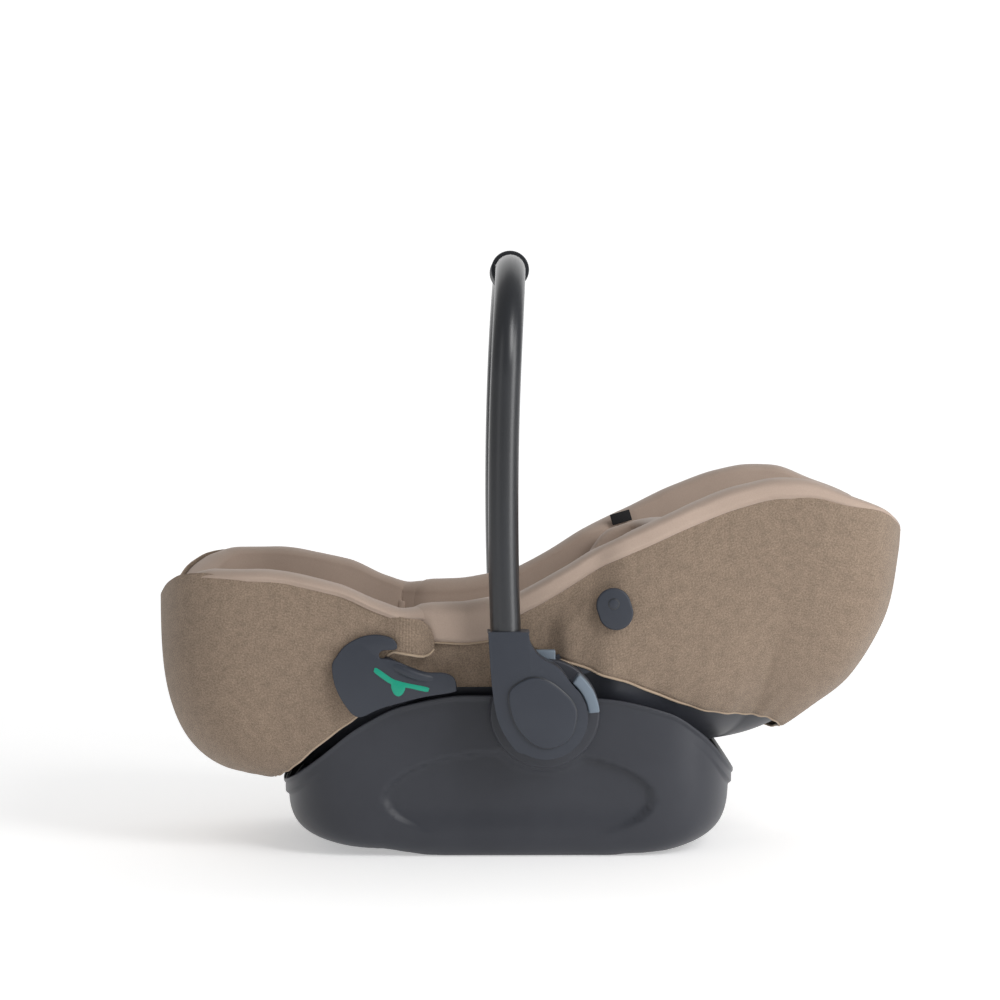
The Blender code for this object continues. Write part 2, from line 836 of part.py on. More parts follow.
def recline_hinge(steel):
    for label, side in SIDES:
        eye = circle(RECLINE_X, RECLINE_Z, RECLINE_EYE_R, 20)
        arm = [point for point in eye if point[0] < RECLINE_X + 0.001]
        arm.sort(key=lambda point: point[1])
        arm = arm + [(BRACKET_END, RECLINE_Z + 0.03), (BRACKET_END, RECLINE_Z + 0.004)]
        bracket = plate(f"recline_bracket_{label}", [arm], *span(side, BRACKET_Y, BRACKET_Y + BRACKET_T))
        pin_hole = plate(
            f"pin_hole_{label}",
            [circle(RECLINE_X, RECLINE_Z, RECLINE_PIN_R + RUNNING_GAP, 16)],
            *span(side, BRACKET_Y - 0.01, BRACKET_Y + BRACKET_T + 0.01),
        )
        cut(bracket, pin_hole)
        finish(bracket, steel)
        inner = BRACKET_Y - 0.0022
        pin = turned(
            f"recline_pin_{label}",
            (
                (0, HOUSING_Y + RECLINE_PIN_SEAT - GAP),
                (RECLINE_PIN_R, HOUSING_Y + RECLINE_PIN_SEAT - GAP),
                (RECLINE_PIN_R, BRACKET_Y - GAP),
                (RECLINE_PIN_R + 0.003, BRACKET_Y - GAP),
                (RECLINE_PIN_R + 0.003, inner),
                (0, inner),
            ),
            (RECLINE_X, RECLINE_Z),
            side,
            16,
        )
        finish(pin, steel)


def hood_mounts(plastic, steel):
    inner = SEAT_HALF + COVER_GAP + COVER_T + GAP
    tilt = math.radians(HOOD_TILT)
    straight = (HOOD_H - HOOD_W) / 2
    for label, side in SIDES:
        outline = []
        for centre, start in ((straight, 0), (-straight, 180)):
            for index in range(9):
                turn = math.radians(start + 22.5 * index)
                x = HOOD_W / 2 * math.cos(turn)
                z = centre + HOOD_W / 2 * math.sin(turn)
                outline.append(
                    (
                        HOOD_X + x * math.cos(tilt) - z * math.sin(tilt),
                        HOOD_Z + x * math.sin(tilt) + z * math.cos(tilt),
                    )
                )
        mount = plate(f"hood_mount_{label}", [outline], *span(side, inner, FACE_Y))
        seat = plate(
            f"hood_pin_seat_{label}",
            [circle(HOOD_X - 0.001, HOOD_Z + 0.005, HOOD_PIN_R + GAP, 16)],
            *span(side, FACE_Y - 0.003, FACE_Y + 0.01),
        )
        cut(mount, seat)
        finish(mount, plastic)
        pin = plate(
            f"hood_pin_{label}",
            [circle(HOOD_X - 0.001, HOOD_Z + 0.005, HOOD_PIN_R, 16)],
            *span(side, FACE_Y - 0.003 + GAP, FACE_Y - 0.0004),
        )
        finish(pin, steel)


def harness(plastic, red, webbing, padding):
    floor_z = foot_spine(BUCKLE_X) + SHELL_WALL + FOAM_T + PAD_T + 0.004
    low = floor_z + CROTCH_STRAP_L
    strap = block(
        "crotch_strap",
        (BUCKLE_X, 0, (floor_z + low) / 2),
        (STRAP_T, STRAP_W, low - floor_z),
    )
    finish(strap, webbing)
    pad = block(
        "crotch_pad",
        (BUCKLE_X - STRAP_T / 2 - GAP - CROTCH_PAD_T / 2, 0, (floor_z + low) / 2 - 0.001),
        (CROTCH_PAD_T, CROTCH_PAD_W, low - floor_z - 0.003),
        edge=0.002,
    )
    finish(pad, padding)
    centre_z = low + GAP + BUCKLE_T / 2
    buckle = block("buckle_housing", (BUCKLE_X, 0, centre_z), (BUCKLE_L, BUCKLE_W, BUCKLE_T), edge=0.004)
    room = block(
        "buckle_room",
        (BUCKLE_X, 0, centre_z + BUCKLE_T / 2),
        (PRESS_L + 2 * GAP, PRESS_W + 2 * GAP, 0.016),
    )
    cut(buckle, room)
    finish(buckle, plastic)
    button = block(
        "buckle_button",
        (BUCKLE_X, 0, centre_z + BUCKLE_T / 2 - 0.001),
        (PRESS_L, PRESS_W, 0.005),
        edge=0.001,
    )
    finish(button, red)

    adjuster_z = foot_spine(ADJUSTER_X) + SHELL_WALL + FOAM_T + PAD_T + 0.006 + ADJUSTER_T / 2
    size = (ADJUSTER_L, ADJUSTER_W, ADJUSTER_T)
    adjuster = block("harness_adjuster", (ADJUSTER_X, 0, adjuster_z), size, edge=0.003)
    room = block(
        "adjuster_room",
        (ADJUSTER_X, 0, adjuster_z + ADJUSTER_T / 2),
        (PRESS_L + 2 * GAP, PRESS_W + 2 * GAP, 0.014),
    )
    cut(adjuster, room)
    finish(adjuster, plastic)
    button = block(
        "adjuster_button",
        (ADJUSTER_X, 0, adjuster_z + ADJUSTER_T / 2 - 0.0005),
        (PRESS_L, PRESS_W, 0.004),
        edge=0.001,
    )
    finish(button, plastic)

    top = head_spine(0.04) + SHELL_WALL + FOAM_T + PAD_T + 0.012
    for label, side in SIDES:
        centre = (SHOULDER_X, side * STRAP_Y, top)
        size = (SHOULDER_L, STRAP_W, STRAP_T)
        strap = block(f"shoulder_strap_{label}", centre, size, slope=SHOULDER_SLOPE)
        finish(strap, webbing)
        lift = STRAP_T / 2 + GAP + SHOULDER_PAD_T / 2
        centre = (SHOULDER_X, side * STRAP_Y, top + lift + 0.001)
        size = (SHOULDER_L - 0.004, STRAP_W + 0.018, SHOULDER_PAD_T)
        pad = block(f"shoulder_pad_{label}", centre, size, slope=SHOULDER_SLOPE, edge=0.002)
        finish(pad, padding)


def headrest(plastic, fabric, strap):
    """A U-shaped shell with a cushion inside it, on the back bucket's slope."""
    matrix = (
        Matrix.Translation((HEADREST_X, 0, HEADREST_Z))
        @ Matrix.Rotation(-math.radians(HEADREST_SLOPE), 4, "Y")
    )

    def rim_z(x):
        return level(((0.0, 0.1), (0.04, 0.145), (0.075, HEADREST_RISE), (0.125, HEADREST_RISE)), x)

    columns = []
    turn_x = HEADREST_LENGTH - 0.05
    for x in (0.0, 0.03, turn_x):
        columns.append(((x, HEADREST_HALF, rim_z(x)), (x * 0.7, 0.0), 0.6))
    for share in (0.25, 0.5, 0.75, 1.0):
        x, y = end_round(turn_x, 0.05, HEADREST_HALF, share)
        spine_x = turn_x * 0.7 + 0.02 * share
        columns.append(((x, y, rim_z(x)), (spine_x, 0.0), 0.6 + 0.15 * share))
    shell = tub("headrest_shell", columns, -HEADREST_SHELL_T, 0.0, ROWS, matrix)
    finish(shell, plastic)
    inner = -HEADREST_SHELL_T - GAP
    cushion = tub("headrest_cushion", columns, inner - HEADREST_CUSHION_T, inner, ROWS, matrix)
    finish(cushion, fabric)
    at = matrix @ Vector((HEADREST_LENGTH + 0.006 + GAP, 0, 0.1))
    pull = block("headrest_pull", at, (0.01, 0.05, 0.03), slope=HEADREST_SLOPE, edge=0.002)
    finish(pull, strap)


def recline_lever(plastic):
    low = Vector((LEVER_X, 0, LEVER_Z))
    along = Vector((math.cos(math.radians(LEVER_SLOPE)), 0, math.sin(math.radians(LEVER_SLOPE))))
    out = Vector((along.z, 0, -along.x))
    middle = low + along * (LEVER_DROP / 2) + out * (LEVER_T / 2 + 0.0016)
    size = (LEVER_DROP, 2 * LEVER_HALF, LEVER_T)
    lever = block("recline_lever", middle, size, slope=LEVER_SLOPE, edge=0.0015)
    finish(lever, plastic)


def cover_tag(webbing):
    rim = head_rim(TAG_X) - 0.0005
    side = head_half(TAG_X) - SHELL_WALL - FOAM_T - PAD_T - 4 * GAP - 0.0016
    tag = block("cover_tag", (TAG_X, side, rim), (TAG_W, TAG_T, TAG_H), slope=16)
    finish(tag, webbing)


def hip_bolsters(fabric):
    for label, side in SIDES:
        y = side * (NECK_HALF - SHELL_WALL - FOAM_T - PAD_T - 0.0175)
        size = (BOLSTER_L, BOLSTER_T, BOLSTER_H)
        bolster = block(f"hip_bolster_{label}", (BOLSTER_X, y, BOLSTER_Z), size, edge=0.008, segments=2)
        finish(bolster, fabric)


def main():
    clear_scene()
    dark_plastic = material("dark_plastic", (0.045, 0.051, 0.064), 0.5)
    light_plastic = material("light_plastic", (0.2, 0.22, 0.25), 0.45)
    green_plastic = material("green_plastic", (0.01, 0.32, 0.2), 0.4)
    steel = material("steel", (0.6, 0.6, 0.62), 0.35, 1.0)
    foam = material("foam", (0.75, 0.75, 0.74), 0.9)
    woven = material("woven_fabric", (0.27, 0.19, 0.13), 0.95)
    smooth = material("smooth_fabric", (0.34, 0.26, 0.2), 0.85)
    webbing = material("webbing", (0.05, 0.05, 0.055), 0.8)
    red_plastic = material("red_plastic", (0.55, 0.03, 0.02), 0.4)
    handle_finish = material("handle_finish", (0.022, 0.027, 0.036), 0.35)
    rocker_base(dark_plastic)
    foot_bucket(dark_plastic, foam, woven, smooth)
    hip_bolsters(smooth)
    belt_guides(dark_plastic, green_plastic)
    pivots(dark_plastic, light_plastic, steel)
    harness(dark_plastic, red_plastic, webbing, smooth)
    back_bucket(dark_plastic, foam, woven, smooth)
    recline_hinge(steel)
    hood_mounts(dark_plastic, steel)
    headrest(dark_plastic, smooth, webbing)
    recline_lever(dark_plastic)
    cover_tag(webbing)
    handle(dark_plastic, handle_finish, light_plastic, steel)


main()
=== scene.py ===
import math

import bpy
import numpy as np
from mathutils import Matrix, Vector, noise


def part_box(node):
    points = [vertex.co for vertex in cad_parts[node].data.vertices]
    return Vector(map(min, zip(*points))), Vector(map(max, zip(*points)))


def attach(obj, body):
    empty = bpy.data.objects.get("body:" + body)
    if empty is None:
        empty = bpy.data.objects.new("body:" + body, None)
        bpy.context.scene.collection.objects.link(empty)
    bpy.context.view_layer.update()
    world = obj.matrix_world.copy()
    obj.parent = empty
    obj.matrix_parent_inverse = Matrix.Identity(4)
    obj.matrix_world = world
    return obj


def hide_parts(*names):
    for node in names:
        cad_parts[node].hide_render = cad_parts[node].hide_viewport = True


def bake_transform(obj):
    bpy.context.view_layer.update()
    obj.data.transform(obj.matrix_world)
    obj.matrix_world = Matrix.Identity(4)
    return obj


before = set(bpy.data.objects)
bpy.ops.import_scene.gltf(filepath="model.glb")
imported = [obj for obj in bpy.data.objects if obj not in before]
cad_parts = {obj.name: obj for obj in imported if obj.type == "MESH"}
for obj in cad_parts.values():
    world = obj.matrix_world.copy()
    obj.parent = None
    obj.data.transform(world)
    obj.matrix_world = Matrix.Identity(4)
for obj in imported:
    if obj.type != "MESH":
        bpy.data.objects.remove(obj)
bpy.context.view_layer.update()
sides = (("left", -1), ("right", 1))

# ---- camera, floor and light

view = {"place": (-0.063, -3.2, 0.505), "lens": 115.2, "down": 3.04, "right": 0.63}
studio = {"world": 0.33, "key": 29, "fill": 5, "strip": 18, "floor": 0.93, "glow": 0.4}


def setCamera():
    turn = (math.radians(90 - view["down"]), 0, math.radians(-view["right"]))
    bpy.ops.object.camera_add(location=view["place"], rotation=turn)
    camera = bpy.context.object
    camera.name = "viewCamera"
    camera.data.lens = view["lens"]
    camera.data.sensor_width = 36
    bpy.context.scene.camera = camera


def softLight(name, place, size, power):
    aim = (Vector((0, 0, 0.2)) - Vector(place)).to_track_quat("-Z", "Y").to_euler()
    bpy.ops.object.light_add(type="AREA", location=place, rotation=aim)
    lamp = bpy.context.object
    lamp.name = name
    lamp.data.shape = "RECTANGLE"
    lamp.data.size = size
    lamp.data.size_y = size * 1.8
    lamp.data.energy = power


def setStudio():
    world = bpy.data.worlds.new("studioWorld")
    bpy.context.scene.world = world
    world.use_nodes = True
    sky = world.node_tree.nodes["Background"]
    sky.inputs["Color"].default_value = (1, 1, 1, 1)
    sky.inputs["Strength"].default_value = studio["world"]
    bpy.context.scene.view_settings.view_transform = "Standard"
    softLight("keyLight", (1.5, -2.1, 1.9), 0.8, studio["key"])
    softLight("fillLight", (-2.0, -2.4, 1.2), 1.2, studio["fill"])
    softLight("stripLight", (1.87, -1.17, 0.7), 0.9, studio["strip"])


setCamera()
setStudio()
print("camera and light are set")

# ---- finishes


class Wire:  # one socket, so that shader sums read as plain Python
    def __init__(self, tree, socket):
        self.tree = tree
        self.socket = socket

    def sum(self, operation, first, second=None):
        node = self.tree.nodes.new("ShaderNodeMath")
        node.operation = operation
        for place, value in zip(node.inputs, (first, second)):
            if isinstance(value, Wire):
                self.tree.links.new(value.socket, place)
            elif value is not None:
                place.default_value = value
        return Wire(self.tree, node.outputs[0])

    def __add__(self, other):
        return self.sum("ADD", self, other)

    def __sub__(self, other):
        return self.sum("SUBTRACT", self, other)

    def __rsub__(self, other):
        return self.sum("SUBTRACT", other, self)

    def __mul__(self, other):
        return self.sum("MULTIPLY", self, other)

    __radd__ = __add__
    __rmul__ = __mul__

    def sine(self):
        return self.sum("SINE", self)


class Finish:  # one material and the few nodes that it needs
    def __init__(self, name, **plain):
        self.material = bpy.data.materials.new(name)
        self.material.use_nodes = True
        self.tree = self.material.node_tree
        self.shader = self.tree.nodes["Principled BSDF"]
        for key, value in plain.items():
            self.feed(self.shader, key.replace("_", " "), value)

    def feed(self, node, key, value):
        place = node.inputs[key]
        if isinstance(value, Wire):
            self.tree.links.new(value.socket, place)
        elif isinstance(value, tuple) and len(value) == 3 and place.type == "RGBA":
            place.default_value = (*value, 1)
        else:
            place.default_value = value

    def node(self, kind, settings=None, values=None, out=0):
        node = self.tree.nodes.new(kind)
        for key, value in (settings or {}).items():
            if key == "stops":
                ends = node.color_ramp.elements
                for spot, (at, shade) in zip(ends, value):
                    spot.position = at
                    spot.color = (shade, shade, shade, 1)
            else:
                setattr(node, key, value)
        for key, value in (values or {}).items():
            self.feed(node, key, value)
        return Wire(self.tree, node.outputs[out])

    def place(self):
        return self.node("ShaderNodeTexCoord", out=3)

    def along(self):
        return self.node("ShaderNodeUVMap", {"uv_map": "cloth"})

    def parts(self, vector):
        node = self.tree.nodes.new("ShaderNodeSeparateXYZ")
        self.tree.links.new(vector.socket, node.inputs[0])
        return [Wire(self.tree, out) for out in node.outputs]

    def grain(self, vector, scale, detail=2.0, rough=0.5):
        values = {"Vector": vector, "Scale": scale, "Detail": detail, "Roughness": rough}
        return self.node("ShaderNodeTexNoise", None, values)

    def ramp(self, value, low, high):
        return self.node("ShaderNodeValToRGB", {"stops": ((low, 0), (high, 1))}, {"Fac": value})

    def tint(self, share, first, second):
        node = self.tree.nodes.new("ShaderNodeMix")
        node.data_type = "RGBA"
        for slot, value in ((0, share), (6, first), (7, second)):
            if isinstance(value, Wire):
                self.tree.links.new(value.socket, node.inputs[slot])
            else:
                node.inputs[slot].default_value = value if slot == 0 else (*value, 1)
        return Wire(self.tree, node.outputs[2])

    def bump(self, height, strength, distance):
        values = {"Height": height, "Strength": strength, "Distance": distance}
        self.feed(self.shader, "Normal", self.node("ShaderNodeBump", None, values))

    def colour(self, value):
        self.feed(self.shader, "Base Color", value)

    def dye(self, share, first, second):
        self.colour(self.tint(share, srgb(*first), srgb(*second)))

    def gloss(self, value):
        self.feed(self.shader, "Roughness", value)


def srgb(*shade):  # 0 to 255, as a painter reads it, to the linear value that a shader takes
    return tuple((v / 255 / 12.92) if v <= 10 else ((v / 255 + 0.055) / 1.055) ** 2.4 for v in shade)


clothSet = {"thread": 0.0021, "light": (179, 157, 136), "dark": (78, 65, 53)}


def wovenCloth():
    finish = Finish("wovenTaupe", Roughness=0.92)
    finish.shader.inputs["Sheen Weight"].default_value = 0.12
    run, fall, _ = finish.parts(finish.along())
    pitch = 2 * math.pi / clothSet["thread"]
    warp = ((run + fall) * pitch).sine()
    weft = ((run - fall) * pitch).sine()
    thread = warp * weft * 0.5 + 0.5
    fleck = finish.grain(finish.along(), 620, 2.0, 0.7)
    mottle = finish.grain(finish.along(), 95, 3.0, 0.6)
    mix = finish.ramp(thread * 0.5 + fleck * 0.52 + mottle * 0.2, 0.38, 0.86)
    cloud = finish.grain(finish.along(), 11, 2.0, 0.5)
    light = finish.tint(cloud, srgb(*clothSet["light"]), srgb(166, 146, 127))
    finish.colour(finish.tint(mix, srgb(*clothSet["dark"]), light))
    finish.bump(thread * 0.5 + fleck * 0.7, 0.55, 0.0006)
    return finish.material


def smoothCloth(name, shade, deeper):
    finish = Finish(name, Roughness=0.86)
    finish.shader.inputs["Sheen Weight"].default_value = 0.22
    finish.shader.inputs["Sheen Roughness"].default_value = 0.45
    spot = finish.place()
    knit = finish.grain(spot, 900, 2.0, 0.6)
    cloud = finish.grain(spot, 14, 3.0, 0.55)
    mix = finish.ramp(cloud * 0.6 + knit * 0.4, 0.3, 0.7)
    finish.dye(mix, deeper, shade)
    finish.bump(knit, 0.25, 0.0003)
    return finish.material


def moulded(name, shade, worn, roughness, grainSize=1400, coat=0.0):
    finish = Finish(name)
    finish.shader.inputs["Coat Weight"].default_value = coat
    finish.shader.inputs["Coat Roughness"].default_value = 0.3
    finish.shader.inputs["Specular IOR Level"].default_value = 0.4
    spot = finish.place()
    grain = finish.grain(spot, grainSize, 2.0, 0.6)
    cloud = finish.grain(spot, 7, 4.0, 0.6)
    finish.dye(finish.ramp(cloud, 0.35, 0.75), shade, worn)
    finish.gloss(grain * 0.1 + cloud * 0.12 + (roughness - 0.11))
    finish.bump(grain, 0.12, 0.0002)
    return finish.material


def webbingCloth(name, shade, ridge):
    finish = Finish(name, Roughness=0.8)
    x, y, z = finish.parts(finish.place())
    ribs = ((x + z * 0.6) * (2 * math.pi / 0.0016)).sine() * 0.5 + 0.5
    edge = (y * (2 * math.pi / 0.005)).sine() * 0.5 + 0.5
    finish.dye(ribs * 0.6 + edge * 0.3, shade, ridge)
    finish.bump(ribs * 0.7 + edge * 0.3, 0.5, 0.0005)
    return finish.material


def platedSteel():
    finish = Finish("platedSteel", Metallic=1.0)
    grain = finish.grain(finish.place(), 260, 3.0, 0.6)
    finish.dye(grain, (168, 170, 174), (205, 206, 208))
    finish.gloss(grain * 0.2 + 0.24)
    return finish.material


def beadFoam():
    finish = Finish("beadFoam", Roughness=0.9)
    cells = finish.node("ShaderNodeTexVoronoi", None, {"Vector": finish.place(), "Scale": 260})
    finish.dye(cells, (216, 216, 214), (188, 188, 187))
    finish.bump(1 - cells, 0.5, 0.0008)
    return finish.material


def floorWhite(name, level, glow):
    finish = Finish(name, Roughness=0.8, Emission_Strength=glow)
    finish.shader.inputs["Emission Color"].default_value = (1, 1, 1, 1)
    shade = finish.grain(finish.place(), 2.0, 2.0, 0.5)
    finish.colour(finish.tint(shade, (level,) * 3, (level + 0.02,) * 3))
    return finish.material


woven = wovenCloth()
smooth = smoothCloth("smoothTaupe", (181, 161, 147), (167, 148, 134))
hemCloth = smoothCloth("hemTaupe", (180, 160, 138), (162, 142, 121))
basePlastic = moulded("basePlastic", (46, 48, 55), (55, 57, 64), 0.42)
hubPlastic = moulded("hubPlastic", (47, 51, 60), (56, 60, 69), 0.42)
handleSatin = moulded("handleSatin", (20, 23, 28), (27, 30, 36), 0.36, 2200, 0.7)
gripRubber = moulded("gripRubber", (24, 26, 31), (32, 35, 41), 0.5, 1100)
buttonPlastic = moulded("buttonPlastic", (104, 116, 129), (118, 130, 142), 0.45)
greenInlay = moulded("greenInlay", (12, 148, 120), (22, 160, 130), 0.4)
redPress = moulded("redPress", (172, 28, 24), (186, 38, 32), 0.35, 1400, 0.3)
steel = platedSteel()
foam = beadFoam()
webbing = webbingCloth("blackWebbing", (24, 25, 28), (46, 47, 52))
tagCloth = webbingCloth("tagCloth", (16, 16, 18), (34, 34, 38))
print("finishes are made")

# ---- small shop tools


def only(obj):
    bpy.ops.object.select_all(action="DESELECT")
    obj.select_set(True)
    bpy.context.view_layer.objects.active = obj


def applied(obj, kind, **values):
    only(obj)
    step = obj.modifiers.new(kind.lower(), kind)
    for key, value in values.items():
        setattr(step, key, value)
    bpy.ops.object.modifier_apply(modifier=step.name)
    return obj


def settled(obj):  # its place goes into its mesh
    only(obj)
    bpy.ops.object.transform_apply(location=True, rotation=True, scale=True)
    return obj


def pointsOf(obj):
    flat = np.empty(len(obj.data.vertices) * 3)
    obj.data.vertices.foreach_get("co", flat)
    return flat.reshape(-1, 3)


def setPoints(obj, points):
    obj.data.vertices.foreach_set("co", np.ascontiguousarray(points, float).ravel())
    obj.data.update()


def edited(obj, *steps):  # runs these edit mode steps on the whole mesh
    only(obj)
    bpy.ops.object.mode_set(mode="EDIT")
    bpy.ops.mesh.select_all(action="SELECT")
    for step in steps:
        step()
    bpy.ops.object.mode_set(mode="OBJECT")
    return obj


def mergeDoubles():
    bpy.ops.mesh.remove_doubles(threshold=0.00002)


def faceOut():
    bpy.ops.mesh.normals_make_consistent(inside=False)


def outward(obj):
    return edited(obj, mergeDoubles, faceOut)


def bevelled(obj, width, segments, **limit):
    return applied(obj, "BEVEL", width=width, segments=segments, limit_method="ANGLE", **limit)


def boxOf(node):  # the middle and the size of a CAD part
    low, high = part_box(node)
    return (low + high) / 2, high - low


def finished(obj, name, finish, body=None, nodes=(), crease=None):
    obj.name = name
    obj.data.name = name
    obj.data.materials.clear()
    obj.data.materials.append(finish)
    only(obj)
    if crease is None:
        bpy.ops.object.shade_smooth()
    else:
        bpy.ops.object.shade_smooth_by_angle(angle=math.radians(crease))
    if body:
        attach(obj, body)
    if nodes:
        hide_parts(*nodes)
    return obj


def mount(obj, name, finish, body, node):  # a hard part in place of one CAD part
    return finished(obj, name, finish, body, [node], 50)


def through(knots):  # a smooth line through (x, value) knots that never overshoots
    xs, ys = np.array(knots, float).T
    gaps = np.diff(xs)
    slopes = np.diff(ys) / gaps
    tilt = np.zeros(len(xs))
    before, after = slopes[:-1], slopes[1:]
    same = before * after > 0
    tilt[1:-1][same] = (2 * before * after)[same] / (before + after)[same]
    tilt[0], tilt[-1] = slopes[0], slopes[-1]

    def at(x):
        x = np.clip(np.asarray(x, float), xs[0], xs[-1])
        i = np.clip(np.searchsorted(xs, x) - 1, 0, len(gaps) - 1)
        t = (x - xs[i]) / gaps[i]
        rise = (1 + 2 * t) * (1 - t) ** 2 * ys[i] + t * t * (3 - 2 * t) * ys[i + 1]
        return rise + gaps[i] * (t * (1 - t) ** 2 * tilt[i] + t * t * (t - 1) * tilt[i + 1])

    return at


def ease(value, low, high):
    t = np.clip((np.asarray(value, float) - low) / (high - low), 0, 1)
    return t * t * (3 - 2 * t)


def ring(points, steps=6):  # a closed smooth outline through its corner points
    corners = [Vector((x, z)) for x, z in points]
    count = len(corners)
    line = []
    for i in range(count):
        a, b, c, d = (corners[(i + k) % count] for k in (-1, 0, 1, 2))
        for step in range(steps):
            t = step / steps
            spot = b * 2 + (c - a) * t + (a * 2 - b * 5 + c * 4 - d) * t * t
            spot += (b * 3 - a - c * 3 + d) * t * t * t
            line.append(tuple(spot * 0.5))
    return line


def plate(outline, inner, outer, side, bevel=0.0015, segments=3):
    bpy.ops.mesh.primitive_circle_add(vertices=len(outline), radius=1, fill_type="NGON")
    obj = bpy.context.object
    for spot, (x, z) in zip(obj.data.vertices, outline):
        spot.co = (x, side * inner, z)
    depth = {"value": (0, side * (outer - inner), 0)}
    edited(obj, lambda: bpy.ops.mesh.extrude_region_move(TRANSFORM_OT_translate=depth))
    edited(obj, faceOut)
    settled(obj)
    return bevelled(obj, bevel, segments, angle_limit=math.radians(50)) if bevel else obj


def tube(points, radius, sides=20):
    path = bpy.data.curves.new("path", "CURVE")
    path.dimensions = "3D"
    path.bevel_depth = radius
    path.bevel_resolution = max(sides // 4 - 1, 1)
    path.use_fill_caps = True
    line = path.splines.new("POLY")
    line.points.add(len(points) - 1)
    for spot, place in zip(line.points, points):
        spot.co = (*place, 1)
    obj = bpy.data.objects.new("path", path)
    bpy.context.scene.collection.objects.link(obj)
    only(obj)
    bpy.ops.object.convert(target="MESH")
    return outward(bpy.context.object)


def block(centre, size, slope=0.0, bevel=0.002, segments=3):
    turn = (0, -math.radians(slope), 0)
    bpy.ops.mesh.primitive_cube_add(size=1, location=centre, rotation=turn, scale=size)
    return bevelled(settled(bpy.context.object), bevel, segments)


def puffed(obj, voxel, cap, pressure=4.0):  # fills a pad with air and keeps the shape
    applied(obj, "REMESH", mode="VOXEL", voxel_size=voxel)
    start = pointsOf(obj)
    only(obj)
    cloth = obj.modifiers.new("fill", "CLOTH")
    cloth.settings.use_pressure = True
    cloth.settings.uniform_pressure_force = pressure
    cloth.settings.effector_weights.gravity = 0
    frames = 20
    cloth.point_cache.frame_start = 1
    cloth.point_cache.frame_end = frames
    for step in range(1, frames + 1):
        bpy.context.scene.frame_set(step)
    bpy.ops.object.modifier_apply(modifier=cloth.name)
    bpy.context.scene.frame_set(1)
    moved = pointsOf(obj) - start
    reach = np.linalg.norm(moved, axis=1, keepdims=True)
    setPoints(obj, start + moved * np.minimum(1, cap / np.maximum(reach, 1e-9)))
    return applied(obj, "SUBSURF", levels=1, render_levels=1)


# ---- bucket skins: every layer of a bucket is laid off from one surface


def skin(shape, columns=97, rows=121):
    # plan outline from the open end along the near side to the middle of the closed end
    flat = np.linspace(shape["open"], shape["turn"], 400)
    turn = np.linspace(0, 1, 4000)[1:]  # close steps, since the end is steep
    angle = turn * math.pi / 2
    bendX = shape["turn"] + shape["reach"] * np.sin(angle) ** shape["round"]
    bendY = shape["half"](shape["turn"]) * np.maximum(np.cos(angle), 0) ** shape["round"]
    bendY[-1] = 0
    x = np.concatenate([flat, bendX])
    y = np.concatenate([shape["half"](flat), bendY])
    share = np.concatenate([0 * flat, turn])  # how far round the closed end
    if "start" in shape:  # a closed start, as on the base
        backX = shape["open"] + shape["startReach"] * np.sin(angle[::-1]) ** shape["round"]
        x = np.concatenate([backX, x])
        y = np.concatenate([bendY[::-1], y])
        share = np.concatenate([-turn[::-1], share])
    length = np.concatenate([[0], np.cumsum(np.hypot(np.diff(x), np.diff(y)))])
    spots = np.linspace(0, length[-1], columns)
    x, y, share = (np.interp(spots, length, line) for line in (x, y, share))
    spineX, spineZ, power, flatness = shape["spine"](x, share)
    rimZ = shape["rim"](x)
    t = np.linspace(0, 1, 900)
    angle = (t * t * (3 - 2 * t))[None, :] * math.pi / 2
    across = np.maximum(np.cos(angle), 0) ** power[:, None]
    across[:, -1] = 0
    down = np.minimum(1, (1 + flatness) * np.sin(angle) ** power[:, None])
    dense = np.stack(
        [
            spineX[:, None] + (x - spineX)[:, None] * across,
            -y[:, None] * across ** shape.get("side", 1),
            rimZ[:, None] + (spineZ - rimZ)[:, None] * down,
        ],
        axis=2,
    )
    grid = np.empty((columns, rows, 3))
    depth = np.empty(columns)
    for i in range(columns):
        step = np.linalg.norm(np.diff(dense[i], axis=0), axis=1)
        run = np.concatenate([[0], np.cumsum(step)])
        depth[i] = run[-1]
        for k in range(3):
            grid[i, :, k] = np.interp(np.linspace(0, run[-1], rows), run, dense[i, :, k])
    mirror = np.array([1, -1, 1])
    wide = np.concatenate([grid, grid[-2:-3:-1] * mirror])
    first = grid[1:2] * mirror if "start" in shape else 2 * grid[:1] - grid[1:2]
    wide = np.concatenate([first, wide])
    normal = np.cross(np.gradient(wide, axis=0), np.gradient(wide, axis=1))[1:-1]
    normal[:, -1, 1] = 0
    normal[-1, :, 1] = 0
    if "start" in shape:
        normal[0, :, 1] = 0
    normal = normal / np.maximum(np.linalg.norm(normal, axis=2, keepdims=True), 1e-12)
    if normal[columns // 3, rows // 3, 1] > 0:
        normal = -normal
    normal[:, 0, 2] *= 0.3  # the rim stands nearly upright
    for k, near in [(rows - 1, rows - 2)] + [(k, k + 1) for k in range(rows - 2, -1, -1)]:
        bare = np.linalg.norm(normal[:, k], axis=1) < 0.01
        normal[bare, k] = normal[bare, near]  # where the skin closes, a point takes its neighbour's way
    normal /= np.linalg.norm(normal, axis=2, keepdims=True)
    return {"grid": grid, "normal": normal, "depth": depth, "along": spots, "share": share, "x": x}


def laid(base, i, away, down):  # points of column i at these distances outwards and down the skin
    rows = base["grid"].shape[1]
    part = np.clip(down / base["depth"][i], 0, 1) * (rows - 1)
    at, to = (
        np.stack([np.interp(part, np.arange(rows), base[key][i, :, k]) for k in range(3)], axis=1)
        for key in ("grid", "normal")
    )
    to /= np.maximum(np.linalg.norm(to, axis=1, keepdims=True), 1e-9)
    at = at + to * np.asarray(away)[:, None]
    at[:, 2] += np.maximum(-np.asarray(down), 0)
    return at


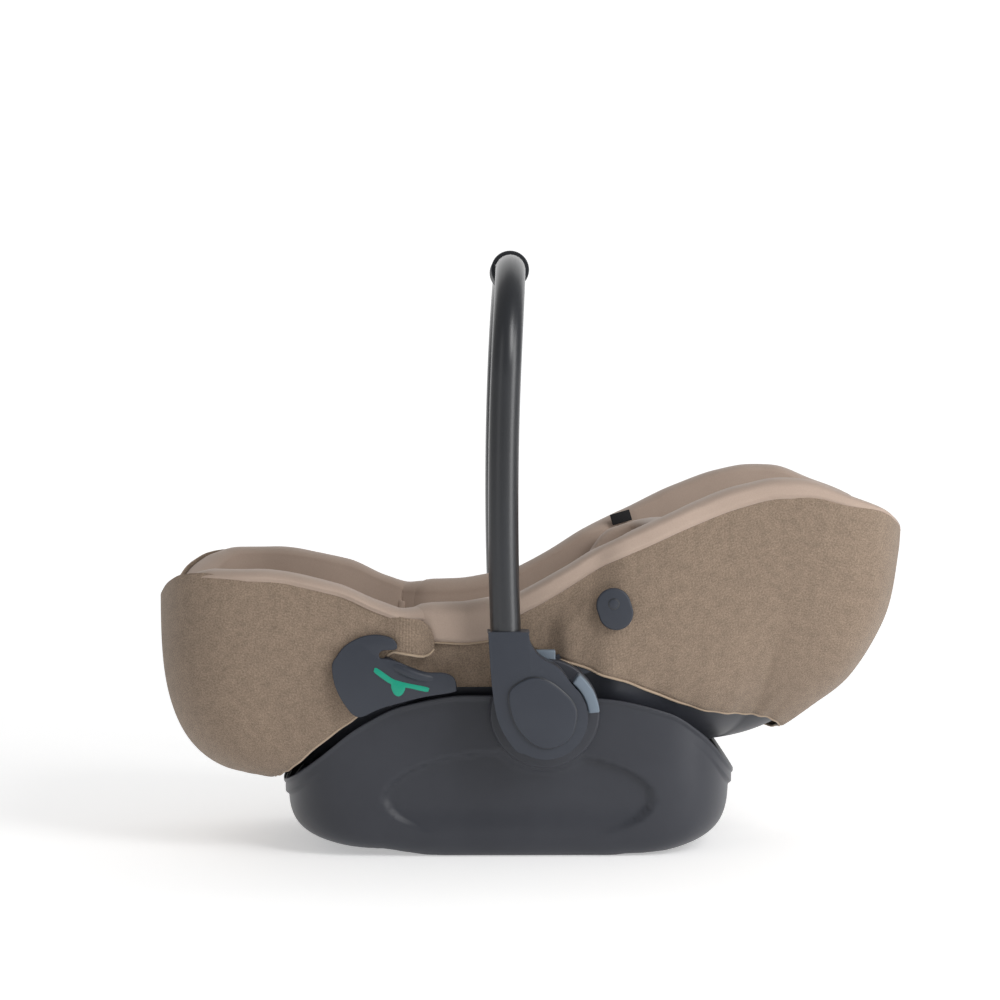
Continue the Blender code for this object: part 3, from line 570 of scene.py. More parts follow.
def whereZ(base, i, level):  # how far down column i the skin drops below level(x)
    line = base["grid"][i]
    under = np.nonzero(line[:, 2] <= level(line[:, 0]))[0]
    rows = len(line)
    if not len(under):
        return base["depth"][i]
    j = under[0]
    if j == 0:
        return 0.0
    a = line[j - 1, 2] - level(line[j - 1, 0])
    b = line[j, 2] - level(line[j, 0])
    return (j - 1 + a / (a - b)) / (rows - 1) * base["depth"][i]


def sheetOf(base, profile, whole=True, side=-1, picks=None):
    # lays a grid of cloth: profile(i) gives the distances outwards and down for column i
    picks = range(len(base["x"])) if picks is None else picks
    half, uvs = [], []
    for i in picks:
        away, down = profile(i)
        half.append(laid(base, i, away, down))
        step = np.hypot(np.diff(away), np.diff(down))
        fall = np.concatenate([[0], np.cumsum(step)])
        uvs.append(np.stack([np.full(len(fall), base["along"][i]), fall], axis=1))
    half, uvs = np.array(half), np.array(uvs)
    if whole:
        other = half[::-1] * np.array([1, -1, 1])
        otherUv = uvs[::-1] * np.array([-1, 1]) + np.array([2 * uvs[-1, 0, 0], 0])
        half, uvs = np.concatenate([half, other[1:]]), np.concatenate([uvs, otherUv[1:]])
    elif side > 0:
        half = half * np.array([1, -1, 1])
    return clothGrid(half, uvs)


def clothGrid(points, uvs):
    across, down = points.shape[:2]
    bpy.ops.mesh.primitive_grid_add(x_subdivisions=down - 1, y_subdivisions=across - 1, size=1)
    obj = bpy.context.object
    obj.data.vertices.foreach_set("co", points.ravel())
    for layer in list(obj.data.uv_layers):
        obj.data.uv_layers.remove(layer)
    layer = obj.data.uv_layers.new(name="cloth")
    order = np.empty(len(obj.data.loops), int)
    obj.data.loops.foreach_get("vertex_index", order)
    layer.data.foreach_set("uv", uvs.reshape(-1, 2)[order].ravel())
    obj.data.update()
    return edited(obj, mergeDoubles)


def facing(obj, spot, way):  # turns the cloth so that its face nearest spot looks along way
    best = min(obj.data.polygons, key=lambda face: (face.center - Vector(spot)).length)
    if best.normal.dot(Vector(way)) < 0:
        edited(obj, bpy.ops.mesh.flip_normals)
    return obj


def thick(obj, depth):
    return applied(obj, "SOLIDIFY", thickness=depth, offset=-1, use_even_offset=False)


def rumpled(obj, height, size, seed=0.0):  # soft unevenness of a hand-fitted cover
    points = pointsOf(obj)
    normals = np.empty(len(points) * 3)
    obj.data.vertices.foreach_get("normal", normals)
    normals = normals.reshape(-1, 3)
    lift = [noise.noise(Vector(p / size) + Vector((seed, 0, 0))) for p in points]
    setPoints(obj, points + normals * (np.array(lift) * height)[:, None])
    return obj


footHalf = through([(-0.13, 0.172), (-0.125, 0.1717), (-0.095, 0.1585), (-0.09, 0.158), (0, 0.158)])
footRim = through(
    [(-0.358, 0.234), (-0.353, 0.2435), (-0.347, 0.2525), (-0.342, 0.257), (-0.33, 0.264)]
    + [(-0.304, 0.2695), (-0.264, 0.2695), (-0.185, 0.256), (-0.145, 0.239), (-0.11, 0.229)]
    + [(-0.07, 0.23), (-0.03, 0.236), (0, 0.238)]
)
footSpine = through([(-0.262, 0.066), (-0.236, 0.0735), (-0.2, 0.074), (-0.1, 0.06), (0, 0.058)])
headHalf = through([(-0.035, 0.156), (0.05, 0.159), (0.06, 0.1595), (0.09, 0.169), (0.14, 0.172)])
headRim = through(
    [(-0.035, 0.236), (-0.009, 0.248), (0.027, 0.268), (0.07, 0.294), (0.113, 0.314), (0.157, 0.334)]
    + [(0.2, 0.35), (0.235, 0.356), (0.261, 0.355), (0.304, 0.342), (0.33, 0.332), (0.349, 0.3155)]
    + [(0.355, 0.304), (0.358, 0.292)]
)
headSpine = through([(-0.02, 0.072), (0.01, 0.07), (0.1, 0.084), (0.181, 0.099), (0.217, 0.12)])
headPower = through([(0.1, 0.62), (0.2, 0.8), (0.25, 0.95)])


def footSpineOf(x, share):
    start = -0.021 + (-0.248 + 0.021) * 0.78
    spineX = np.where(share > 0, start + (-0.255 - start) * share, -0.021 + (x + 0.021) * 0.78)
    return spineX, footSpine(spineX), 0.75 - 0.03 * np.clip(share * 5, 0, 1), 0.0


def headSpineOf(x, share):
    start = 0.01 + (0.248 - 0.031) * 0.74
    flat = np.where(x < 0.031, 0.01 + (x - 0.031) * 0.3, 0.01 + (x - 0.031) * 0.74)
    spineX = np.where(share > 0, start + (0.21 - start) * share, flat)
    return spineX, headSpine(spineX), headPower(np.minimum(x, 0.248)) + 0.2 * share, 0.0


baseRim = through(
    [(-0.238, 0.064), (-0.201, 0.097), (-0.164, 0.127), (-0.121, 0.148), (-0.06, 0.1575)]
    + [(0.066, 0.154), (0.131, 0.14), (0.164, 0.118), (0.198, 0.072)]
)
baseFloor = through([(-0.18, 0.014), (-0.17, 0.012), (-0.08, 0), (0.07, 0), (0.14, 0.011)])


def baseSpineOf(x, share):
    spineX = np.where(share < 0, -0.14 + 0.04 * share, np.where(share > 0, 0.09 + 0.045 * share, x))
    power = np.where(share < 0, 0.4 - 0.2 * share, 0.4 + 0.2 * np.maximum(share, 0))
    return spineX, baseFloor(spineX), power, 0.03


footShape = {"open": -0.021, "turn": -0.248, "reach": -0.11, "round": 0.62}
footShape |= {"half": footHalf, "rim": footRim, "spine": footSpineOf}
headShape = {"open": -0.035, "turn": 0.248, "reach": 0.11, "round": 0.62}
headShape |= {"half": headHalf, "rim": headRim, "spine": headSpineOf}
baseShape = {"open": -0.14, "turn": 0.09, "reach": 0.108, "round": 0.62, "start": True}
baseShape |= {"side": 0.36, "startReach": -0.098, "half": lambda x: 0.165 + 0 * x}
baseShape |= {"rim": baseRim, "spine": baseSpineOf}

footSkin = skin(footShape)
footCoverSkin = skin(footShape | {"side": 0.32})
headSkin = skin(headShape)
baseSkin = skin(baseShape, 161, 81)
headStart = int(np.argmax(headSkin["x"] >= 0.031))
print("bucket skins are laid out")

# ---- rocker base

rocker = {"wall": 0.004, "recess": 0.0062, "lip": 0.0032}
rocker |= {"centre": np.array([-0.011, 0.058]), "half": np.array([0.129, 0.046])}


def rockerProfile(i):
    depth = baseSkin["depth"][i]
    down = np.concatenate([np.linspace(0, 0.03, 26), np.linspace(0.03, depth, 92)[1:]])
    at = laid(baseSkin, i, np.zeros(len(down)), down)
    x, z = at[:, 0], at[:, 2]
    far = np.hypot(*((at[:, ::2] - rocker["centre"]) / rocker["half"]).T)
    dish = ease(1 - far, 0.0, 0.024) * ease(z, 0.014, 0.05)
    dish = dish * (1 - ease(0.062 - np.hypot(x - 0.0128, z - 0.142), 0, 0.008))
    dish = dish * ease(np.abs(at[:, 1]), 0.1, 0.13)
    end = ease(np.abs(baseSkin["share"][i]), 0.25, 0.75)
    bead = 0.0016 * (1 - ease(down, 0.003, 0.0052))
    lip = rocker["lip"] * end * (1 - ease(down, 0.013, 0.0165))
    return bead + lip - rocker["recess"] * dish, down


def onFloor(obj):  # what would go below the floor lies flat on it
    points = pointsOf(obj)
    points[:, 2] = np.maximum(points[:, 2], 0.0)
    setPoints(obj, points)
    return obj


def makeBase():
    obj = facing(sheetOf(baseSkin, rockerProfile), (0, -0.165, 0.1), (0, -1, 0))
    onFloor(thick(onFloor(obj), rocker["wall"]))
    finished(obj, "rockerBase", basePlastic, "base_and_seat", ["rocker_base"])


makeBase()
print("rocker base is made")

# ---- shells, liners and woven covers

layers = {"shell": 0.004, "linerAt": -0.0046, "liner": 0.0132, "coverOut": 0.0036, "coverThick": 0.0016}
layers |= {"hem": 0.0013, "edge": 0.0005}
footHem = through(
    [(-0.35, 0.088), (-0.302, 0.074), (-0.293, 0.071), (-0.269, 0.068), (-0.251, 0.074), (-0.229, 0.087)]
    + [(-0.211, 0.103), (-0.185, 0.124), (-0.164, 0.14), (-0.15, 0.168), (-0.132, 0.2)]
    + [(-0.118, 0.1975), (-0.109, 0.1955), (-0.1, 0.198), (-0.093, 0.2045)]
)
footTop = through(
    [(-0.36, 0.4), (-0.122, 0.4), (-0.1215, 0.236), (-0.112, 0.231), (-0.102, 0.224), (-0.096, 0.2165)]
    + [(-0.093, 0.2085)]
)
headHem = through(
    [(-0.035, 0.206), (0.0, 0.2), (0.027, 0.1925), (0.05, 0.186), (0.092, 0.17), (0.135, 0.152)]
    + [(0.178, 0.1375), (0.221, 0.132), (0.26, 0.128), (0.3, 0.12)]
)


def shellOf(base, name, finish, node, out, depth, body, first):
    def profile(i):
        down = np.linspace(0, base["depth"][i], 72)
        return 0 * down + out, down

    obj = sheetOf(base, profile, picks=range(first, len(base["x"])))
    facing(obj, *(base[key][len(base["x"]) // 2, 30] for key in ("grid", "normal")))
    thick(obj, depth)
    finished(obj, name, finish, body, [node])


def coverProfile(base, hem, top, band, ripple):
    def profile(i):
        sag = -0.018 * base["share"][i] if base is headSkin else 0.0
        low = whereZ(base, i, lambda x: hem(x) + sag)
        cut = whereZ(base, i, top) if top else 0.0
        edge = band(base["x"][i], base["share"][i]) - 0.003
        high = max(cut, edge) if cut > 0 else edge
        down = np.linspace(high, max(low, high + 0.004), 80)
        away = np.full(80, layers["coverOut"])
        along = base["along"][i]
        fade = np.exp(-(low - down) / 0.022)
        away = away + ripple * fade * np.sin(along * 2 * math.pi / 0.034 + 1.3 * np.sin(along * 23))
        away = away - 0.0018 * ease(down, low - 0.004, low)
        return away, down

    return profile


def hemOf(base, picks, profile, name, body=None):  # the folded lower edge of a cover, right round
    ends = [(i, *profile(i)) for i in picks]
    line = np.array([laid(base, i, away[-1:], down[-1:])[0] for i, away, down in ends])
    run = np.concatenate([line, line[::-1][1:] * np.array([1, -1, 1])])
    edge = tube([tuple(p) for p in run], layers["hem"], 10)
    return finished(edge, name, hemCloth, body)


def clad(obj, name, body, node):  # a cover's thickness and finish
    thick(obj, layers["coverThick"])
    bevelled(obj, layers["edge"], 2)
    return finished(obj, name, woven, body, [node], 60)


def footBand(x, share):
    return 0.001 + 0.015 * float(ease(x, -0.1, -0.084)) - 0.006 * float(ease(share, 0.0, 0.45))


def headBand(x, share):
    return 0.012 - 0.009 * float(ease(share, 0.0, 0.6)) - 0.003 * float(ease(x, 0.19, 0.248))


def makeFootCover():
    picks = [i for i in range(len(footCoverSkin["x"])) if footCoverSkin["x"][i] < -0.0935]
    profile = coverProfile(footCoverSkin, footHem, footTop, footBand, 0.0006)
    nose = 0.0095 * ease(footCoverSkin["x"], -0.14, -0.108)
    nose = nose + 0.0012 * ease(footCoverSkin["share"], 0.05, 0.4)

    def bulged(i):
        away, down = profile(i)
        return away + nose[i], down

    obj = facing(sheetOf(footCoverSkin, bulged, picks=picks), (-0.22, -0.176, 0.2), (0, -1, 0))
    rumpled(obj, 0.0014, 0.07, 3.0)
    clad(obj, "footCover", "base_and_seat", "foot_cover")
    edge = hemOf(footCoverSkin, picks, bulged, "footHem", "base_and_seat")


def headBulge(base, i):  # room for the hinge plate, and a fuller head end
    x, share = base["x"][i], float(base["share"][i])
    end = 0.005 * float(ease(share, 0.1, 0.5) * (1 - ease(share, 0.72, 0.92)))
    return 0.0092 * float(ease(x, 0.016, 0.036) * (1 - ease(x, 0.066, 0.1))), end


def makeHeadCover():
    plain = coverProfile(headSkin, headHem, None, headBand, 0.0007)

    def profile(i):
        away, down = plain(i)
        hinge, end = headBulge(headSkin, i)
        belly = end * 0.9 * ease(down, 0.02, 0.09) * (1 - ease(down, 0.15, 0.21))
        return away + hinge * ease(down, 0.02, 0.05) + end + belly, down

    obj = facing(sheetOf(headSkin, profile), (0.2, -0.176, 0.24), (0, -1, 0))
    rumpled(obj, 0.0013, 0.075, 9.0)
    clad(obj, "headCover", None, "back_cover")
    edge = hemOf(headSkin, range(len(headSkin["x"])), profile, "headHem")
    for piece in (obj, edge):
        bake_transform(piece)


def makeHipPanels():  # the set-in woven strip between the two covers
    picks = [i for i in range(len(footSkin["x"])) if footSkin["x"][i] > -0.155]

    def profile(i):
        low = whereZ(footSkin, i, lambda x: 0.165 + 0 * x)
        down = np.linspace(footBand(footSkin["x"][i], 0) - 0.003, low, 50)
        crease = 0.0016 * np.exp(-(((down - 0.043) / 0.004) ** 2))
        return 0.0028 + 0 * down - crease, down

    for label, side in sides:
        obj = sheetOf(footSkin, profile, False, side, picks)
        facing(obj, (-0.07, side * 0.16, 0.2), (0, side, 0))
        rumpled(obj, 0.0016, 0.05, side)
        thick(obj, layers["coverThick"])
        finished(obj, f"hipPanel_{label}", woven, "base_and_seat", crease=60)


for kind, node, finish, slot, out, depth in (
    ("Shell", "shell", basePlastic, "base_plastic", 0.0, layers["shell"]),
    ("Liner", "foam", foam, "foam", layers["linerAt"], layers["liner"]),
):
    shellOf(footSkin, "foot" + kind, finish, "foot_" + node, out, depth, "base_and_seat", 0)
    shellOf(headSkin, "back" + kind, finish, "back_" + node, out, depth, "backrest", headStart)
makeFootCover()
makeHeadCover()
makeHipPanels()
print("shells, liners and covers are made")

# ---- padded linings with a soft roll over the rim

lining = {"out": 0.0068, "inside": -0.0275, "roll": 0.0045, "seam": 0.078, "thick": 0.0062}


def liningProfile(base, band, crown, seams):
    def profile(i):
        x, share, depth, along = base["x"][i], base["share"][i], base["depth"][i], base["along"][i]
        drop = max(band(x, share), 0.0005)
        rise = crown(x)
        outside = np.linspace(drop + 0.0015, 0, 10)
        full = lining["out"] - 0.0026 * float(ease(share, 0.05, 0.4))
        full = full + (headBulge(base, i)[1] if base is headSkin else 0)
        outAway = full - 0.0032 * ease(outside, drop - 0.0035, drop + 0.0015)
        turn = np.linspace(0, math.pi, 30)[1:-1]
        middle = (full + lining["inside"]) / 2
        reach = (full - lining["inside"]) / 2
        rollAway = middle + reach * np.cos(turn)
        rollDown = -rise * np.sin(turn) ** 0.85
        inside = np.concatenate([np.linspace(0, 0.1, 34), np.linspace(0.1, depth, 62)[1:]])
        puff = lining["roll"] * np.sin(math.pi * np.clip(inside / lining["seam"], 0, 1)) ** 0.8
        groove = 0.0042 * np.exp(-(((inside - lining["seam"]) / 0.0038) ** 2))
        lower = np.clip((inside - lining["seam"]) / (2 * (depth - lining["seam"])), 0, 1)
        fill = 0.0035 * np.sin(math.pi * lower)
        cross = sum(0.0034 * math.exp(-(((along - at) / 0.0042) ** 2)) for at in seams)
        cross = cross * ease(inside, lining["seam"], lining["seam"] + 0.006)
        inAway = lining["inside"] - puff + groove - fill + cross
        away = np.concatenate([outAway, rollAway, inAway])
        return away, np.concatenate([outside, rollDown, inside])

    return profile


def footCrown(x):
    return float(0.0085 + 0.004 * ease(x, -0.135, -0.1))


def headCrown(x):
    return float(0.0085 - 0.002 * ease(x, 0.25, 0.33))


def makeLinings():
    profile = liningProfile(footSkin, footBand, footCrown, (0.06, 0.13, 0.2))
    obj = facing(sheetOf(footSkin, profile), (-0.2, 0, 0.1), (0, 0, 1))
    rumpled(obj, 0.0011, 0.045, 5.0)
    thick(obj, lining["thick"])
    finished(obj, "seatLining", smooth, "base_and_seat", ["seat_pad"])
    profile = liningProfile(headSkin, headBand, headCrown, (0.12, 0.2, 0.28))
    obj = facing(sheetOf(headSkin, profile), (0.12, 0, 0.12), (0, 0, 1))
    rumpled(obj, 0.0011, 0.05, 12.0)
    thick(obj, lining["thick"])
    finished(obj, "backLining", smooth, None, ["back_pad"])
    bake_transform(obj)


saddle = {"from": -0.112, "over": 0.003, "flap": 0.021, "thick": 0.0024}


def makeHipSaddles():  # soft pads over the low middle of each rim
    picks = [i for i in range(len(footSkin["x"])) if footSkin["x"][i] > saddle["from"]]

    def profile(i):
        x = footSkin["x"][i]
        full = float(ease(x, saddle["from"], saddle["from"] + 0.016))
        full = full * float(1 - ease(x, -0.029, -0.021) * 0.5)
        over = saddle["over"] * full - 0.003 * (1 - full)
        drop = saddle["flap"] + 0.004 * float(ease(x, -0.1, -0.04))
        outside = np.linspace(drop, 0, 16)
        outAway = lining["out"] + over + 0.001 * np.sin(math.pi * outside / drop)
        outAway = outAway - 0.0042 * ease(outside, drop - 0.004, drop)
        turn = np.linspace(0, math.pi, 34)[1:-1]
        middle = (lining["out"] + lining["inside"]) / 2
        reach = (lining["out"] - lining["inside"]) / 2 + over
        inside = np.linspace(0, 0.06, 26)
        puff = lining["roll"] * np.sin(math.pi * inside / lining["seam"]) ** 0.8
        inAway = lining["inside"] - puff - over * (1 - ease(inside, 0.05, 0.06) * 0.9)
        away = np.concatenate([outAway, middle + reach * np.cos(turn), inAway])
        rise = (footCrown(x) + over) * np.sin(turn) ** 0.85
        return away, np.concatenate([outside, -rise, inside])

    for label, side in sides:
        obj = sheetOf(footSkin, profile, False, side, picks)
        facing(obj, (-0.07, side * 0.166, 0.22), (0, side, 0))
        thick(obj, saddle["thick"])
        finished(obj, f"hipSaddle_{label}", smooth, "base_and_seat")
        edge = []
        for i in picks:
            away, down = profile(i)
            edge.append(laid(footSkin, i, away[:1] + 0.0004, down[:1])[0] * np.array([1, -side, 1]))
        welt = tube([tuple(p) for p in edge], 0.0012, 10)
        finished(welt, f"hipWelt_{label}", hemCloth, "base_and_seat")


makeLinings()
makeHipSaddles()
print("linings are made")

# ---- hip bolsters, headrest and harness

head = {"place": (0.07, 0, 0.118), "slope": 18.0, "shell": 0.003}


def makeBolsters():
    for label, side in sides:
        node = f"hip_bolster_{label}"
        centre, size = boxOf(node)
        obj = block(centre, size * 0.92, 0, 0.0085, 4)
        applied(obj, "SUBSURF", levels=1, render_levels=1)
        puffed(obj, 0.004, 0.006)
        finished(obj, f"hipBolster_{label}", smooth, "base_and_seat", [node])


def headrestSpineOf(x, share):
    spineX = np.where(share > 0, 0.0525 + 0.02 * share, x * 0.7)
    return spineX, 0 * spineX, 0.6 + 0.15 * np.maximum(share, 0), 0.0


def makeHeadrest():
    rise = through([(0.0, 0.1), (0.04, 0.145), (0.075, 0.165), (0.125, 0.165)])
    shape = {"open": 0.0, "turn": 0.075, "reach": 0.05, "round": 0.62}
    shape |= {"half": lambda x: 0.112 + 0 * x, "rim": rise, "spine": headrestSpineOf}
    base = skin(shape, 61, 81)
    matrix = Matrix.Translation(head["place"]) @ Matrix.Rotation(-math.radians(head["slope"]), 4, "Y")

    def shellLine(i):
        return np.zeros(60), np.linspace(0.003, base["depth"][i], 60)

    def cushionLine(i):
        depth = base["depth"][i]
        outside = np.linspace(0.018, 0.002, 8)
        turn = np.linspace(0, math.pi, 18)[1:-1]
        down = np.concatenate([np.linspace(0.002, 0.03, 14), np.linspace(0.03, depth, 56)[1:]])
        seam = 0.003 * np.exp(-(((down - 0.07) / 0.005) ** 2))
        inAway = -0.0175 - 0.002 * np.sin(math.pi * down / depth) + seam
        away = np.concatenate([0.0036 + 0 * outside, -0.00695 + 0.01055 * np.cos(turn), inAway])
        return away, np.concatenate([outside, 0.002 - 0.005 * np.sin(turn), down])

    obj = facing(sheetOf(base, shellLine), (0.04, -0.112, 0.08), (0, -1, 0))
    thick(obj, head["shell"])
    obj.data.transform(matrix)
    finished(obj, "headrestShell", basePlastic, "headrest", ["headrest_shell"])
    obj = facing(sheetOf(base, cushionLine), (0.04, 0, 0.02), (0, 0, 1))
    rumpled(obj, 0.0009, 0.03, 2.0)
    thick(obj, 0.0034)
    obj.data.transform(matrix)
    finished(obj, "headrestCushion", smooth, "headrest", ["headrest_cushion"])


def ribbon(points, width, depth):  # a flat strap along points in the XZ plane
    line = np.array(points, float)
    run = np.gradient(line, axis=0)
    run /= np.linalg.norm(run, axis=1, keepdims=True)
    across = np.cross(run, np.array([0, 0, 1.0]))
    across /= np.maximum(np.linalg.norm(across, axis=1, keepdims=True), 1e-9)
    grid = np.stack([line + across * (width * part) for part in np.linspace(-0.5, 0.5, 9)], axis=1)
    spots = np.meshgrid(np.arange(len(line)) * 0.004, np.linspace(0, width, 9), indexing="ij")
    return bevelled(thick(clothGrid(grid, np.stack(spots, axis=2)), depth), 0.0006, 2)


def makeHarness():
    for label, side in sides:
        node = f"shoulder_strap_{label}"
        low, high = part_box(node)
        xs = np.linspace(low.x, high.x, 14)
        zs = low.z + 0.001 + (high.z - low.z - 0.002) * (xs - low.x) / (high.x - low.x)
        strap = ribbon([(x, (low.y + high.y) / 2, z) for x, z in zip(xs, zs)], 0.025, 0.0018)
        finished(strap, f"shoulderStrap_{label}", webbing, "backrest", [node], 50)
        node = f"shoulder_pad_{label}"
        centre, size = boxOf(node)
        pad = block(centre, (0.044, size.y - 0.003, 0.005), 14, 0.002, 3)
        puffed(pad, 0.004, 0.003)
        finished(pad, f"shoulderPad_{label}", smooth, "backrest", [node])
    centre, size = boxOf("crotch_pad")
    pad = block(centre, size * 0.86, 0, 0.0025, 3)
    puffed(pad, 0.004, 0.003)
    finished(pad, "crotchPad", smooth, "base_and_seat", ["crotch_pad"])


def pressed(node, name, finish, body, bevel, segments=4):  # a moulded button with rounded edges
    centre, size = boxOf(node)
    mount(block(centre, size, 0, bevel, segments), name, finish, body, node)


makeBolsters()
makeHeadrest()
makeHarness()
pressed("buckle_button", "buckleButton", redPress, "buckle_release", 0.0012)
pressed("adjuster_button", "adjusterButton", buttonPlastic, "harness_release", 0.001)
print("pads, headrest and harness are made")

# ---- belt guides

hook = [(-0.189, 0.187), (-0.185, 0.196), (-0.176, 0.207), (-0.161, 0.215), (-0.146, 0.217)]
hook += [(-0.133, 0.214), (-0.1275, 0.208), (-0.1282, 0.2032), (-0.1345, 0.2024), (-0.1412, 0.2018)]
hook += [(-0.1444, 0.1985), (-0.1432, 0.1948), (-0.137, 0.1942), (-0.127, 0.1915), (-0.113, 0.1855)]
hook += [(-0.099, 0.1812), (-0.083, 0.1806), (-0.0735, 0.176), (-0.071, 0.1665), (-0.0745, 0.1622)]
hook += [(-0.105, 0.157), (-0.142, 0.147), (-0.1635, 0.1385), (-0.176, 0.149), (-0.186, 0.168)]
lipLine = [(-0.1385, 0.191), (-0.1335, 0.1885), (-0.127, 0.1855), (-0.12, 0.1825), (-0.113, 0.1798)]
lipLine += [(-0.106, 0.1775), (-0.099, 0.1757), (-0.091, 0.1748), (-0.083, 0.1742)]
lipSink = (0.008, 0.0042, 0.0018, 0.0005, 0, 0.0005, 0.0018, 0.0042, 0.008)
band = [(-0.1465, 0.1855), (-0.149, 0.1835), (-0.1482, 0.1808), (-0.137, 0.1724), (-0.1331, 0.1702)]
band += [(-0.1328, 0.1668), (-0.1303, 0.161), (-0.1264, 0.1586), (-0.1222, 0.1606), (-0.1196, 0.1652)]
band += [(-0.1182, 0.1668), (-0.1, 0.1629), (-0.0975, 0.1645), (-0.0985, 0.1672), (-0.118, 0.1712)]
band += [(-0.1255, 0.1732), (-0.132, 0.1756)]
guide = {"inner": 0.1764, "outer": 0.1818, "lip": 0.0055}


def makeGuides():
    for label, side in sides:
        out = guide["outer"]
        obj = plate(ring(hook, 5), guide["inner"], out + 0.0012, side, 0.0022, 4)
        mount(obj, f"beltGuide_{label}", hubPlastic, "base_and_seat", f"belt_guide_{label}")
        line = [(x, side * (out - 0.0008 - dip), z) for (x, z), dip in zip(lipLine, lipSink)]
        lip = tube(line, guide["lip"], 20)
        finished(lip, f"beltGuideLip_{label}", hubPlastic, "base_and_seat")
        mark = plate(ring(band, 4), out + 0.0006, out + 0.0016, side, 0.0003, 2)
        mount(mark, f"beltMark_{label}", greenInlay, "base_and_seat", f"belt_mark_{label}")


makeGuides()
print("belt guides are made")

# ---- hubs, buttons and handle

hub = {"x": 0.0128, "z": 0.142, "round": 0.0395, "inner": 0.1822, "outer": 0.2168}
hub |= {"leg": 0.1995, "tube": 0.0145, "top": 0.582, "corner": 0.1}
roundTurns = [math.radians(a) for a in (240, 262, 284, 306, 328, 350, 12, 34, 50)]
hubLine = [(-0.0538, 0.0785), (-0.0532, 0.066), (-0.0498, 0.023), (-0.0433, -0.007), (-0.0288, -0.03)]
hubLine += [(hub["round"] * math.cos(a), hub["round"] * math.sin(a)) for a in roundTurns]
hubLine += [(0.012, 0.047), (-0.004, 0.056), (-0.0135, 0.068), (-0.016, 0.0785), (-0.018, 0.0805)]
hubLine += [(-0.0515, 0.0805)]
egg = [(-0.0348, 0.021), (-0.03, 0.03), (-0.0133, 0.038), (0.0037, 0.034), (0.0202, 0.021)]
egg += [(0.0272, 0.011), (0.0288, 0.001), (0.0252, -0.015), (0.0152, -0.025), (-0.0001, -0.0287)]
egg += [(-0.0143, -0.023), (-0.0268, -0.009), (-0.0328, 0.006)]


def carved(obj, cutter):
    applied(obj, "BOOLEAN", operation="DIFFERENCE", object=cutter, solver="EXACT")
    bpy.data.objects.remove(cutter)
    return obj


def aboutHub(points, grow=1.0):
    return [(hub["x"] + x * grow, hub["z"] + z * grow) for x, z in points]


def arc(radius, start, end, count):
    turns = [math.radians(start + (end - start) * k / count) for k in range(count + 1)]
    return [(hub["x"] + radius * math.cos(t), hub["z"] + radius * math.sin(t)) for t in turns]


def makeHubs():
    for label, side in sides:
        out = hub["outer"]
        obj = plate(arc(0.052, 0, 354, 59), 0.1654, 0.1818, side, 0.0022, 4)
        node = f"pivot_housing_{label}"
        mount(obj, f"pivotHousing_{label}", basePlastic, "base_and_seat", node)
        body = plate(ring(aboutHub(hubLine), 4), hub["inner"], out, side, 0.0045, 5)
        pocket = arc(0.0348, -1, 58, 14) + arc(0.06, 58, -1, 14)  # the button's travel and a little more
        carved(body, plate(pocket, 0.1895, 0.2138, side, 0))
        mount(body, f"handleHub_{label}", hubPlastic, "handle", f"handle_hub_{label}")
        # painted shade: a plate of the darkest plastic, a little wider than the cap, shows as a dark ring
        # that stands for the shadow in the gap round the cap
        groove = plate(ring(aboutHub(egg, 1.02), 5), out - 0.002, out + 0.0004, side, 0.0002, 1)
        finished(groove, f"capShadowRing_{label}", handleSatin, "handle", crease=50)
        cap = plate(ring(aboutHub(egg), 5), out + 0.0003, out + 0.0034, side, 0.0018, 5)
        mount(cap, f"hubCap_{label}", hubPlastic, "handle", f"hub_cap_{label}")
        obj = plate(arc(0.0402, 5, 52, 14) + arc(0.051, 52, 5, 14), 0.191, 0.2129, side, 0.0018, 4)
        node, rides = f"handle_button_{label}", f"{label}_handle_button"
        mount(obj, f"handleButton_{label}", buttonPlastic, rides, node)
        node, rides = f"adapter_button_{label}", f"{label}_adapter_button"
        pressed(node, f"adapterButton_{label}", buttonPlastic, rides, 0.0015, 3)


def lean(z):  # the legs bow a little towards the foot end, furthest at mid height
    return hub["x"] - 0.0398 + 0.16 * (z - 0.34) ** 2


def makeHandle():
    corner = hub["corner"]
    topZ = hub["top"] - 0.0185
    line = [(lean(z), -hub["leg"], z) for z in np.linspace(0.1905, topZ - corner, 40)]
    for k in range(1, 31):
        turn = math.radians(3 * k)
        z = topZ - corner + corner * math.sin(turn)
        line.append((lean(z), -(hub["leg"] - corner) - corner * math.cos(turn), z))
    line += [(line[-1][0], y, topZ) for y in np.linspace(-(hub["leg"] - corner), 0, 12)[1:]]
    line += [(x, -y, z) for x, y, z in reversed(line[:-1])]
    bar = tube(line, hub["tube"], 40)
    finished(bar, "handleBar", handleSatin, "handle", ["handle_bar"])
    profile = [(-0.088, 0.0149), (-0.088, 0.0178), (-0.0868, 0.0185), (-0.0835, 0.0185), (-0.0825, 0.0179)]
    ribs = np.linspace(-0.081, 0.081, 163)
    profile += [(y, 0.0179 + 0.00025 * math.cos(y * 2 * math.pi / 0.006)) for y in ribs]
    profile += [(-y, r) for y, r in profile[4::-1]]
    count = 48
    bpy.ops.mesh.primitive_grid_add(x_subdivisions=len(profile) - 1, y_subdivisions=count, size=1)
    grip = bpy.context.object
    spots = []
    for k in range(count + 1):
        turn = 2 * math.pi * k / count
        spots += [(lean(topZ) + r * math.cos(turn), y, topZ + r * math.sin(turn)) for y, r in profile]
    setPoints(grip, np.array(spots))
    outward(grip)
    thick(grip, 0.0003)
    outward(grip)
    finished(grip, "handleGrip", gripRubber, "handle", ["handle_grip"], 40)


makeHubs()
makeHandle()
print("hubs and handle are made")

# ---- hood mounts, tag and lever


